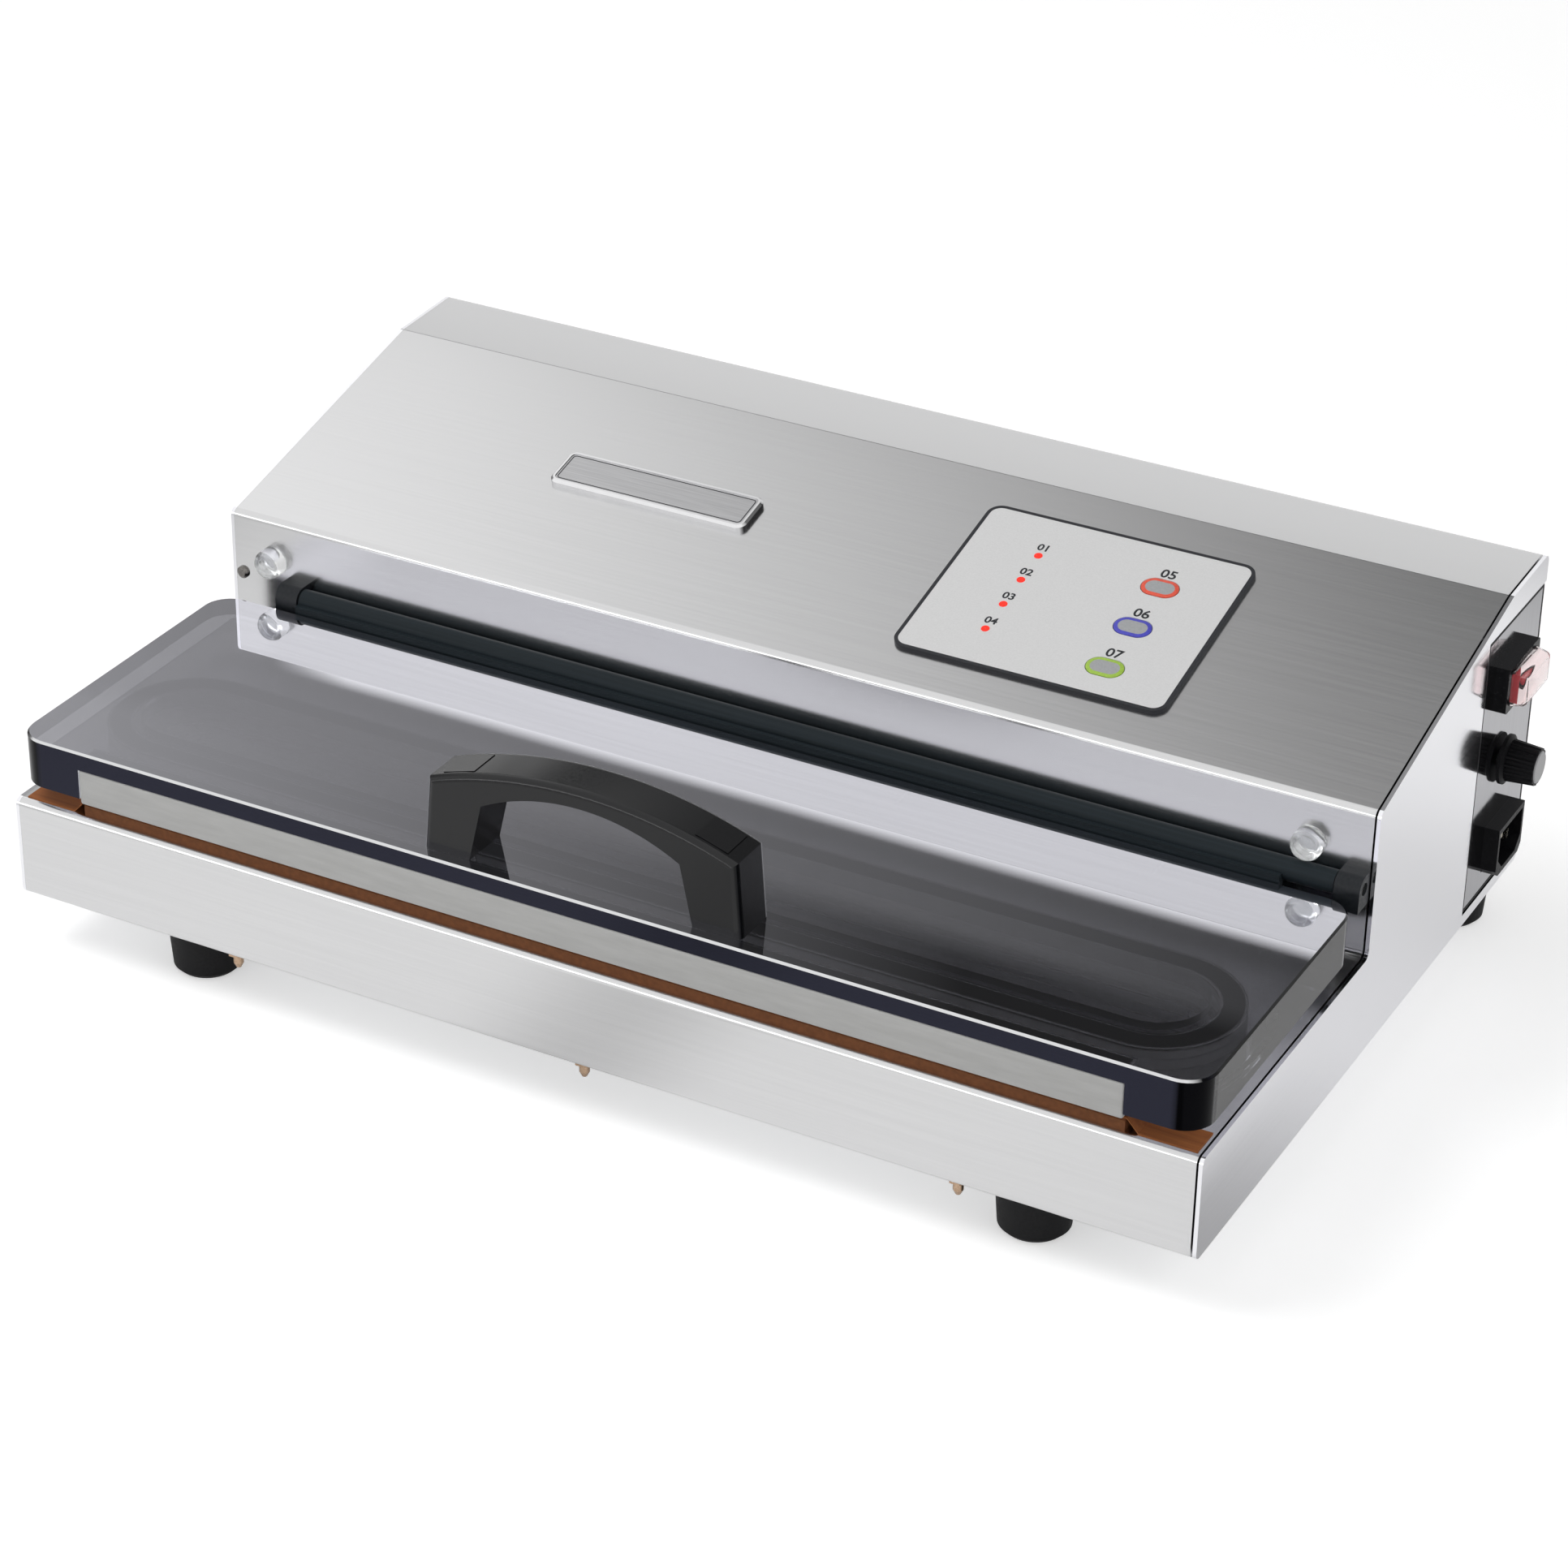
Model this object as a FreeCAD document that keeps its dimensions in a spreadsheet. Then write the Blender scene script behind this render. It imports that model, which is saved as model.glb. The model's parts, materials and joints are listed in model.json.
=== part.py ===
import FreeCAD, Part
import math
import os
import re
import Sketcher
from FreeCAD import Placement, Rotation, Vector

# A countertop vacuum sealer: a folded steel housing with a low front deck and a
# tall rear, a thick clear lid hinged at the rear of the deck, and side controls.
# Every piece is drawn with X across the housing from its middle, Y back from the
# front face and Z up from the table. One shared offset then centres the whole.

os.makedirs("parts", exist_ok=True)
doc = FreeCAD.newDocument("VacuumSealer")
sheet = doc.addObject("Spreadsheet::Sheet", "Sizes")

SIZES = {
    # Housing
    "body_width": 495,
    "body_depth": 315,
    "front_height": 42,
    "deck_depth": 149,
    "face_height": 60,
    "roof_run": 38.5,
    "slope_rise": 31,
    "roof_rise": 1.5,
    "sheet_gauge": 1.2,
    "side_gauge": 1.5,
    "seam_gap": 0.8,
    "weld_gap": 0.05,
    "bend_radius": 3,
    "flange_width": 12,
    "fit_gap": 0.3,
    "overcut": 1,
    "vent_length": 26,
    "vent_width": 3,
    "vent_pitch": 8,
    "vent_count": 8,
    "back_vent_rise": 70,
    "base_vent_y": 190,
    # Feet
    "foot_height": 22,
    "foot_top_radius": 15,
    "foot_base_radius": 13.5,
    "foot_bevel": 2,
    "foot_boss_radius": 5,
    "front_foot_side": 70.5,
    "front_foot_y": 22,
    "rear_foot_side": 19.5,
    "rear_foot_back": 18,
    "foot_screw_radius": 2,
    "foot_head_radius": 4,
    "foot_head_height": 3,
    "foot_head_depth": 8,
    "foot_screw_end": 2,
    # Lid
    "lid_side": 1.5,
    "lid_front": 0.5,
    "lid_lift": 8.2,
    "lid_thickness": 20,
    "lid_corner": 12,
    "lid_edge": 0.8,
    "lid_recess": 7,
    "pad_side": 30.5,
    "pad_depth": 10.5,
    "pad_rise": 12.5,
    "pad_air": 0.5,
    "pad_round": 1,
    # Hinge
    "bar_radius": 4.5,
    "bar_gap": 0.6,
    "pivot_rise": 3,
    "lid_rear_gap": 6.7,
    "tongue_gauge": 4,
    "tongue_low": 2,
    "shaft_radius": 2.5,
    "running_fit": 0.05,
    "seat_fit": 0.02,
    "block_width": 10,
    "block_nose": 5.2,
    "block_drop": 8,
    "block_left": 27,
    "block_right": 2,
    "bar_end_gap": 0.5,
    "shaft_inset": 1,
    "bar_screw_radius": 1.5,
    "bar_screw_head": 2.8,
    "bar_screw_cap": 1.6,
    "bar_screw_length": 10,
    "bar_screw_pitch": 105,
    "bar_screw_drop": 12,
    "bumper_left": 20,
    "bumper_right": 25.9,
    "bumper_radius": 6.1,
    "bumper_tip": 4.8,
    "bumper_wall": 4.4,
    "bumper_reach": 6.5,
    "face_screw_side": 4.8,
    "face_screw_rise": 33.4,
    "face_screw_head": 2.6,
    "face_screw_cap": 1.6,
    "face_screw_rim": 0.8,
    "face_screw_crown": 1.6,
    "face_screw_radius": 1.4,
    "face_screw_length": 6,
    # Handle
    "handle_foot": 66,
    "handle_shoulder": 63.5,
    "handle_shoulder_rise": 29.7,
    "handle_crown": 41.4,
    "grip_foot": 46.3,
    "grip_shoulder": 41,
    "grip_shoulder_rise": 24,
    "grip_crown": 34.6,
    "handle_y": 6,
    "handle_width": 21,
    "handle_round": 2.8,
    "cap_inner": 45.5,
    "cap_outer": 58.5,
    "cap_width": 14,
    "cap_depth": 2.5,
    "cap_proud": 0.3,
    "handle_screw_x": 55,
    "handle_screw_radius": 2,
    "handle_screw_grip": 14,
    "handle_screw_tip": 1,
    "handle_head_radius": 4,
    "handle_head_height": 2.6,
    # Seal line and vacuum track
    "bar_height": 4.6,
    "bar_edge": 0.6,
    "bar_y": 3,
    "bar_width": 11,
    "ribbon_width": 5,
    "ribbon_gauge": 0.4,
    "tape_gauge": 0.4,
    "tape_y": 3.2,
    "tape_width": 13.3,
    "tape_side": 3.5,
    "tape_ramp": 5,
    "tape_lap": 0.5,
    "stud_side": 94.5,
    "stud_radius": 2,
    "stud_tip": 1,
    "stud_grip": 2.3,
    "stud_reach": 9,
    "stud_lead": 2,
    "stud_hole_gap": 0.3,
    "nut_radius": 4,
    "nut_height": 3.2,
    "track_y": 56,
    "gasket_side": 11.5,
    "gasket_radius": 32.5,
    "gasket_band": 10,
    "gasket_height": 4,
    "gasket_air": 0.3,
    "gasket_seat": 1.2,
    "tab_side": 55.5,
    "tab_width": 14,
    "tab_reach": 7,
    "tab_lap": 3,
    "tab_gauge": 2,
    "tab_round": 2,
    "trough_inset": 3,
    "trough_depth": 14,
    "trough_gauge": 1,
    "trough_flange": 4,
    "port_side": 47.5,
    "port_y": 50,
    "port_radius": 3,
    "port_bore": 1.8,
    "port_collar": 6.5,
    "port_rise": 3,
    "collar_gauge": 1.5,
    "port_drop": 5,
    # Sloped panel
    "panel_left": 40,
    "panel_width": 113,
    "panel_length": 91,
    "panel_gauge": 1.6,
    "panel_corner": 6,
    "button_x": 122.3,
    "button_low": -29.1,
    "button_pitch": 25,
    "button_length": 15,
    "button_width": 10,
    "button_gap": 0.3,
    "button_proud": 0.4,
    "button_gauge": 1.3,
    "light_x": 70.6,
    "light_low": -24.8,
    "light_pitch": 15.6,
    "light_radius": 1.6,
    "light_gap": 0.1,
    "light_proud": 0.2,
    "badge_left": -134,
    "badge_width": 89,
    "badge_low": -5.1,
    "badge_length": 20.5,
    "badge_gauge": 2.8,
    "badge_corner": 4,
    "badge_edge": 0.9,
    "badge_rim": 1.8,
    "badge_inset": 0.6,
    "badge_skin": 0.3,
    # Side controls
    "plate_width": 59.5,
    "plate_low": 5.5,
    "plate_height": 116.5,
    "plate_recess": 0.4,
    "plate_lap": 3,
    "plate_back": 0.8,
    "lap_low": 2.5,
    "switch_back": 32.5,
    "switch_rise": 97.8,
    "switch_length": 34,
    "switch_width": 18.5,
    "switch_reach": 5.3,
    "switch_round": 1.5,
    "switch_neck_length": 30,
    "switch_neck_width": 14.5,
    "switch_depth": 22,
    "well_length": 28,
    "well_width": 13,
    "well_depth": 9,
    "rocker_length": 25,
    "rocker_width": 12.2,
    "rocker_pivot": 1.2,
    "rocker_back": 3.2,
    "rocker_rim": 5,
    "rocker_dip": 3.4,
    "rocker_taper": 3,
    "rocker_tilt": 8,
    "rocker_pin_radius": 1.2,
    "rocker_pin_reach": 1,
    "hood_length": 31,
    "hood_width": 16,
    "hood_reach": 7.4,
    "hood_wall": 1,
    "hood_round": 2.2,
    "knob_back": 31,
    "knob_rise": 60,
    "knob_reach": 15.2,
    "knob_air": 1.2,
    "skirt_radius": 10,
    "skirt_height": 2.4,
    "skirt_wall": 1.4,
    "grip_radius": 8.4,
    "tip_radius": 7.5,
    "flute_radius": 1.3,
    "flute_count": 16,
    "knob_cap_radius": 6.4,
    "knob_cap_gauge": 1.2,
    "knob_cap_seat": 0.6,
    "knob_cap_edge": 0.4,
    "spindle_radius": 3,
    "spindle_reach": 11,
    "bush_radius": 3.5,
    "bush_reach": 1,
    "pot_radius": 8.5,
    "pot_depth": 9,
    "spindle_tail": 6,
    "inlet_back": 29,
    "inlet_rise": 24.3,
    "inlet_length": 28,
    "inlet_width": 21.5,
    "inlet_reach": 6.2,
    "inlet_bevel": 3,
    "inlet_neck_length": 26.2,
    "inlet_neck_width": 19.6,
    "inlet_depth": 17,
    "socket_length": 24.6,
    "socket_width": 17,
    "socket_bevel": 5,
    "socket_depth": 16.5,
    "blade_width": 4,
    "blade_gauge": 2,
    "blade_length": 13,
    "blade_pitch": 7,
    "blade_drop": 2,
    "blade_tail": 8,
    # Inner works
    "pump_side": 142.5,
    "pump_y": 218,
    "pump_length": 84,
    "pump_width": 62,
    "pump_height": 42,
    "pump_head_radius": 15,
    "pump_head_height": 26,
    "pump_head_pitch": 42,
    "weld_lap": 1,
    "motor_radius": 30,
    "motor_length": 82,
    "motor_rise": 34,
    "motor_cap": 4,
    "motor_cap_radius": 15,
    "cradle_length": 50,
    "cradle_width": 30,
    "cradle_lap": 6,
    "core_side": 97.5,
    "core_y": 225,
    "core_length": 66,
    "core_width": 52,
    "core_height": 56,
    "core_window": 46,
    "coil_length": 80,
    "coil_height": 34,
    "coil_round": 4,
    "board_gap": 10,
    "board_gauge": 1.6,
    "board_margin": 4,
    "post_radius": 2.5,
    "post_inset": 6,
    "valve_y": 172,
    "valve_length": 26,
    "valve_width": 24,
    "valve_height": 24,
    "valve_coil_radius": 10,
    "valve_coil_height": 20,
    "hose_radius": 5,
    "hose_bore": 3.05,
    "hose_start": 4,
    "hose_level": 8,
    "hose_straight": 1.4,
    "link_y": 186,
}
for row, (name, value) in enumerate(SIZES.items(), start=1):
    sheet.set("A%d" % row, name)
    sheet.set("B%d" % row, str(value))
    sheet.setAlias("B%d" % row, name)
doc.recompute()

# Levels and lines that several pieces share, as expressions of the sizes above
BOTTOM = "foot_height"
DECK = "(foot_height + front_height)"
FACE_TOP = "(foot_height + front_height + face_height)"
SLOPE_RUN = "(body_depth - deck_depth - roof_run)"
BEND_Y = "(body_depth - roof_run)"
BEND_Z = "(foot_height + front_height + face_height + slope_rise)"
ROOF = "(foot_height + front_height + face_height + slope_rise + roof_rise)"
FLOOR = "(foot_height + 2 * sheet_gauge)"
SIDE = "(body_width / 2)"
COVER_LEFT = "(side_gauge + weld_gap - body_width / 2)"
COVER_RIGHT = "(body_width / 2 - side_gauge - seam_gap)"
LID_LOW = "(foot_height + front_height + lid_lift)"
LID_TOP = "(foot_height + front_height + lid_lift + lid_thickness)"
LID_SIDE = "(body_width / 2 - lid_side)"
PIVOT_Y = "(deck_depth - bar_radius - bar_gap)"
PIVOT_Z = "(foot_height + front_height + lid_lift + lid_thickness + pivot_rise)"
LID_REAR = "(deck_depth - bar_radius - bar_gap - lid_rear_gap)"
BAR_LEFT = "(block_left + block_width + bar_end_gap - body_width / 2)"
BAR_RIGHT = "(body_width / 2 - block_right - block_width - bar_end_gap)"
TONGUE_RIGHT = "(body_width / 2 - bumper_right - bumper_radius - fit_gap)"
PAD_HALF = "(body_width / 2 - pad_side)"
STUD_X = "(body_width / 2 - stud_side)"
PUMP_X = "(body_width / 2 - pump_side)"
CORE_X = "(core_side - body_width / 2)"
TRACK_HALF = "(body_width / 2 - gasket_side - gasket_radius)"
TAB_X = "(body_width / 2 - tab_side)"
PORT_X = "(body_width / 2 - port_side)"
TROUGH_RADIUS = "(gasket_radius - gasket_band - trough_inset)"
BAR_TOP = "(foot_height + front_height + bar_height)"
TAPE_TOP = "(foot_height + front_height + bar_height + ribbon_gauge + tape_gauge)"
STUD_Y = "(bar_y + bar_width / 2)"
PLATE = "(body_width / 2 - plate_recess)"
LAP_GAUGE = "(seam_gap - fit_gap)"
SWITCH_Y = "(body_depth - switch_back)"
SWITCH_Z = "(foot_height + switch_rise)"
KNOB_Y = "(body_depth - knob_back)"
KNOB_Z = "(foot_height + knob_rise)"
INLET_Y = "(body_depth - inlet_back)"
INLET_Z = "(foot_height + inlet_rise)"
HANDLE_BOW = "(handle_crown - handle_shoulder_rise)"
HANDLE_R = "((handle_shoulder^2 + %s^2) / (2 * %s))" % (HANDLE_BOW, HANDLE_BOW)
GRIP_BOW = "(grip_crown - grip_shoulder_rise)"
GRIP_R = "((grip_shoulder^2 + %s^2) / (2 * %s))" % (GRIP_BOW, GRIP_BOW)
SLOPE = "atan2(slope_rise; body_depth - deck_depth - roof_run)"
FRAME_X = "(-knob_reach / 2)"
FRAME_Y = "(-body_depth / 2)"

nodes = {}


def bound(text):
    """The expression with the sheet's name put before each size."""
    def prefix(word):
        return "Sizes." + word.group() if word.group() in SIZES else word.group()
    return re.sub(r"[a-z]\w*", prefix, text)


def number(text):
    """The value of an expression, for first guesses and for picking edges."""
    return float(sheet.evalExpression(bound(text)))


def minus(text):
    return "-(%s)" % text


def plus(*texts):
    return " + ".join("(%s)" % text for text in texts)


def less(first, *texts):
    return "(%s)" % first + "".join(" - (%s)" % text for text in texts)


# Sketch outlines: each function returns a drawing step for one closed loop
def fix(item, geometry, point, x, y):
    """Hold one point of a sketch at two expressions."""
    for kind, text in (("DistanceX", x), ("DistanceY", y)):
        index = item.addConstraint(Sketcher.Constraint(kind, -1, 1, geometry, point, number(text)))
        item.renameConstraint(index, "%s%d" % (kind[-1].lower(), index))
        item.setExpression("Constraints.%s%d" % (kind[-1].lower(), index), bound(text))


def size_of(item, kind, geometry, text):
    index = item.addConstraint(Sketcher.Constraint(kind, geometry, number(text)))
    item.renameConstraint(index, "size%d" % index)
    item.setExpression("Constraints.size%d" % index, bound(text))


def path(*corners):
    """Corners (x, y) joined by lines. A corner (x, y, radius) starts an arc to the next one:
    a positive radius bulges to the right of the way along the path."""
    def draw(item):
        first = item.GeometryCount
        spots = [Vector(number(corner[0]), number(corner[1]), 0) for corner in corners]
        ends = []
        for k, corner in enumerate(corners):
            a, b = spots[k], spots[(k + 1) % len(spots)]
            if len(corner) == 2:
                item.addGeometry(Part.LineSegment(a, b), False)
                ends.append((1, 2))
                continue
            radius = number(corner[2])
            half = (b - a) * 0.5
            rise = math.sqrt(max(radius ** 2 - half.Length ** 2, 0))
            left = Vector(-half.y, half.x, 0).normalize()
            centre = a + half + left * rise * (1 if radius > 0 else -1)
            start, stop = (a, b) if radius > 0 else (b, a)
            angles = [math.atan2(spot.y - centre.y, spot.x - centre.x) for spot in (start, stop)]
            if angles[1] < angles[0]:
                angles[1] += 2 * math.pi
            circle = Part.Circle(centre, Vector(0, 0, 1), abs(radius))
            item.addGeometry(Part.ArcOfCircle(circle, angles[0], angles[1]), False)
            ends.append((1, 2) if radius > 0 else (2, 1))
        for k, corner in enumerate(corners):
            after = (k + 1) % len(corners)
            meet = (first + k, ends[k][1], first + after, ends[after][0])
            item.addConstraint(Sketcher.Constraint("Coincident", *meet))
            fix(item, first + k, ends[k][0], corner[0], corner[1])
            if len(corner) == 3:
                size_of(item, "Radius", first + k, corner[2].lstrip("-"))
    return draw


def rect(left, right, low, high):
    return path((left, low), (right, low), (right, high), (left, high))


def circle(x, y, radius):
    def draw(item):
        ring = Part.Circle(Vector(number(x), number(y), 0), Vector(0, 0, 1), number(radius))
        index = item.addGeometry(ring, False)
        fix(item, index, 3, x, y)
        size_of(item, "Radius", index, radius)
    return draw


def rounded(left, right, low, high, radius):
    """A rectangle with four round corners."""
    bend = "(%s)" % radius
    near_left, near_right = plus(left, bend), less(right, bend)
    near_low, near_high = plus(low, bend), less(high, bend)
    return path((near_left, low), (near_right, low, bend), (right, near_low), (right, near_high, bend),
                (near_right, high), (near_left, high, bend), (left, near_high), (left, near_low, bend))


def track(half, y, radius):
    """A racetrack: two lines and two half circles, each half circle drawn as two quarters."""
    return oval("0", y, half, radius)


def oval(x, y, half, radius):
    """A racetrack about a point."""
    bend = "(%s)" % radius
    left, right = less(x, half), plus(x, half)
    low, high = less(y, bend), plus(y, bend)
    return path((left, low), (right, low, bend), (plus(right, bend), y, bend), (right, high),
                (left, high, bend), (less(left, bend), y, bend))


# Solid features
def new_body(label):
    body = doc.addObject("PartDesign::Body", label)
    body.Label = label
    return body


def sketch(body, role, level, loops):
    item = body.newObject("Sketcher::SketchObject", body.Name + "_outline")
    plane = next(feature for feature in body.Origin.OriginFeatures if feature.Role == role)
    item.AttachmentSupport = (plane, [""])
    item.MapMode = "FlatFace"
    item.setExpression("AttachmentOffset.Base.z", bound(minus(level) if role == "XZ_Plane" else level))
    for draw in loops:
        draw(item)
    return item


def pad(body, role, low, high, *loops):
    """Material from one level to another along the normal of an origin plane."""
    outline = sketch(body, role, high if role == "XZ_Plane" else low, loops)
    item = body.newObject("PartDesign::Pad", body.Name + "_pad")
    item.Profile = outline
    item.setExpression("Length", bound(less(high, low)))
    return item


def pocket(body, role, low, high, *loops):
    """A cut from one level to another along the normal of an origin plane."""
    outline = sketch(body, role, low if role == "XZ_Plane" else high, loops)
    item = body.newObject("PartDesign::Pocket", body.Name + "_pocket")
    item.Profile = outline
    item.setExpression("Length", bound(less(high, low)))
    return item


def turn(body, *corners):
    """Material turned about Z from corners (radius, height)."""
    outline = sketch(body, "XZ_Plane", "0", [path(*corners)])
    item = body.newObject("PartDesign::Revolution", body.Name + "_turn")
    item.Profile = outline
    item.ReferenceAxis = (outline, ["V_Axis"])
    item.Angle = 360
    return item


def dress(body, kind, size, test):
    """A fillet or chamfer on the edges of the tip that pass a test."""
    doc.recompute()
    base = body.Tip
    names = ["Edge%d" % (k + 1) for k, edge in enumerate(base.Shape.Edges) if test(edge)]
    item = body.newObject("PartDesign::" + kind, body.Name + "_" + kind.lower())
    item.Base = (base, names)
    item.setExpression("Radius" if kind == "Fillet" else "Size", bound(size))
    return item


def runs(edge, axis):
    """True for a straight edge along an axis."""
    way = edge.tangentAt(edge.FirstParameter)
    return edge.Curve.TypeId == "Part::GeomLine" and abs(abs(getattr(way, axis)) - 1) < 1e-6


def lies(edge, axis, text):
    """True for an edge that lies wholly at one level of an axis."""
    level = number(text)
    box = edge.BoundBox
    low, high = getattr(box, axis.upper() + "Min"), getattr(box, axis.upper() + "Max")
    return abs(low - level) < 1e-4 and abs(high - level) < 1e-4


def place(item, x="0", y="0", z="0", axis=None, angle=None):
    """Set a piece at three expressions, turned about one axis through its own origin."""
    if axis:
        item.Placement = Placement(Vector(), Rotation(Vector(*axis), number(angle) if angle else 0))
        item.setExpression("Placement.Rotation.Angle", bound(angle))
    for way, text in (("x", x), ("y", y), ("z", z)):
        item.setExpression("Placement.Base." + way, bound(text))


def keep(item, x="0", y="0", z="0", axis=None, angle=None):
    """Give a finished piece its place in the whole and note it for writing."""
    place(item, plus(FRAME_X, x), plus(FRAME_Y, y), z, axis, angle)
    nodes[item.Label] = item


def keep_on_slope(item):
    """Place a piece drawn flat, with X across and Y up the sloped panel from its middle."""
    middle = plus("deck_depth", SLOPE_RUN + " / 2")
    keep(item, "0", middle, plus(FACE_TOP, "slope_rise / 2"), (1, 0, 0), SLOPE)


def group(label, items):
    """Identical separate pieces that share one node."""
    item = doc.addObject("Part::Compound", label)
    item.Label = label
    item.Links = items
    keep(item)
    return item


def block(name, x, y, z, length, width, height):
    """A box centred in X and Y, standing at a level."""
    item = doc.addObject("Part::Box", name)
    for prop, text in (("Length", length), ("Width", width), ("Height", height)):
        item.setExpression(prop, bound(text))
    place(item, less(x, "(%s) / 2" % length), less(y, "(%s) / 2" % width), z)
    return item


def rod(name, x, y, z, radius, height, axis=None, angle=None):
    item = doc.addObject("Part::Cylinder", name)
    item.setExpression("Radius", bound(radius))
    item.setExpression("Height", bound(height))
    place(item, x, y, z, axis, angle)
    return item


def fuse(label, items):
    item = doc.addObject("Part::MultiFuse", label)
    item.Label = label
    item.Shapes = items
    keep(item)
    return item


def stud_holes(gap):
    """Three round holes for the studs of the seal bar."""
    return [circle("%d * %s" % (k, STUD_X), STUD_Y, plus("stud_radius", gap)) for k in (-1, 0, 1)]


PROFILE = [("0", BOTTOM), ("0", DECK), ("deck_depth", DECK), ("deck_depth", FACE_TOP),
           (BEND_Y, BEND_Z), ("body_depth", ROOF), ("body_depth", BOTTOM)]


# Housing cover: one folded sheet for front, deck, face, slope, roof and back
def main_cover():
    body = new_body("main_cover")
    pad(body, "YZ_Plane", COVER_LEFT, COVER_RIGHT, path(*PROFILE))
    bends = dress(body, "Fillet", "bend_radius", lambda edge: runs(edge, "x"))
    doc.recompute()
    levels = (number(COVER_LEFT), number(COVER_RIGHT))
    ends = ["Face%d" % (k + 1) for k, face in enumerate(bends.Shape.Faces)
            if min(abs(face.CenterOfMass.x - level) for level in levels) < 1e-4]
    shell = body.newObject("PartDesign::Thickness", "main_cover_shell")
    shell.Base = (bends, ends)
    shell.Reversed = True
    shell.setExpression("Value", bound("sheet_gauge"))
    pocket(body, "XY_Plane", less(BOTTOM, "overcut"), plus(BOTTOM, "sheet_gauge", "overcut"),
           rect(minus(SIDE), SIDE, "flange_width", less("body_depth", "flange_width")))
    pocket(body, "XY_Plane", less(DECK, "2 * sheet_gauge"), plus(DECK, "overcut"),
           track(TRACK_HALF, "track_y", plus(TROUGH_RADIUS, "fit_gap")))
    pocket(body, "XY_Plane", less(BOTTOM, "overcut"), plus(DECK, "overcut"),
           *stud_holes("stud_hole_gap"))
    screw_x = less(SIDE, "face_screw_side")
    pocket(body, "XZ_Plane", less("deck_depth", "overcut"), plus("deck_depth", "2 * sheet_gauge"),
           circle(minus(screw_x), plus(DECK, "face_screw_rise"), plus("face_screw_radius", "seat_fit")))
    slot = pocket(body, "XZ_Plane", less("body_depth", "2 * sheet_gauge"), plus("body_depth", "overcut"),
                  first_vent(plus(BOTTOM, "back_vent_rise")))
    vent_row(body, slot)
    keep(body)


def first_vent(middle):
    """The leftmost slot of a row of vents centred on the housing."""
    x = "((1 - vent_count) * vent_pitch / 2)"
    return rect(x + " - vent_width / 2", x + " + vent_width / 2", less(middle, "vent_length / 2"),
                plus(middle, "vent_length / 2"))


def vent_row(body, slot):
    """Repeat the first vent along X."""
    item = body.newObject("PartDesign::LinearPattern", body.Name + "_vents")
    item.Originals = [slot]
    item.Direction = (slot.Profile[0], ["H_Axis"])
    item.setExpression("Length", bound("(vent_count - 1) * vent_pitch"))
    item.setExpression("Occurrences", bound("vent_count"))
    body.Tip = item


# Side panels: flat plates with the housing's outline and a return flange at the foot
def side_panel(label, sign):
    body = new_body(label)
    low, high = less(SIDE, "side_gauge"), SIDE
    flange = less(low, "flange_width")
    if sign < 0:
        low, high, flange = minus(SIDE), minus(low), minus(flange)
    pad(body, "YZ_Plane", low, high, path(*PROFILE))
    dress(body, "Fillet", "bend_radius", lambda edge: runs(edge, "x"))
    reach = (flange, low) if sign > 0 else (high, flange)
    pad(body, "XY_Plane", BOTTOM, plus(BOTTOM, "sheet_gauge"),
        rect(reach[0], reach[1], "flange_width + fit_gap", less("body_depth", "flange_width", "fit_gap")))
    if sign > 0:
        pocket(body, "YZ_Plane", less(low, "overcut"), plus(high, "overcut"),
               rect(less("body_depth", "plate_back", "plate_width", "seam_gap"),
                    plus("body_depth", "overcut"),
                    plus(BOTTOM, "plate_low", "-seam_gap"),
                    plus(BOTTOM, "plate_low", "plate_height", "seam_gap")))
    keep(body)


# Base plate: rests on the return flanges and carries the feet and the inner works
def base_plate():
    body = new_body("base_plate")
    half = less(SIDE, "side_gauge", "fit_gap")
    pad(body, "XY_Plane", plus(BOTTOM, "sheet_gauge"), FLOOR,
        rect(minus(half), half, "bend_radius + fit_gap", less("body_depth", "bend_radius", "fit_gap")))
    holes = [circle(x, y, plus("foot_screw_radius", "seat_fit")) for x, y in foot_spots()]
    holes += stud_holes("stud_hole_gap")
    pocket(body, "XY_Plane", plus(BOTTOM, "sheet_gauge / 2"), plus(FLOOR, "overcut"), *holes)
    slot = pocket(body, "XY_Plane", plus(BOTTOM, "sheet_gauge / 2"), plus(FLOOR, "overcut"),
                  first_vent("base_vent_y"))
    vent_row(body, slot)
    keep(body)


def foot_spots():
    front = less(SIDE, "front_foot_side")
    rear = less(SIDE, "rear_foot_side")
    back = less("body_depth", "rear_foot_back")
    return [(minus(front), "front_foot_y"), (front, "front_foot_y"), (minus(rear), back), (rear, back)]


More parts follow.
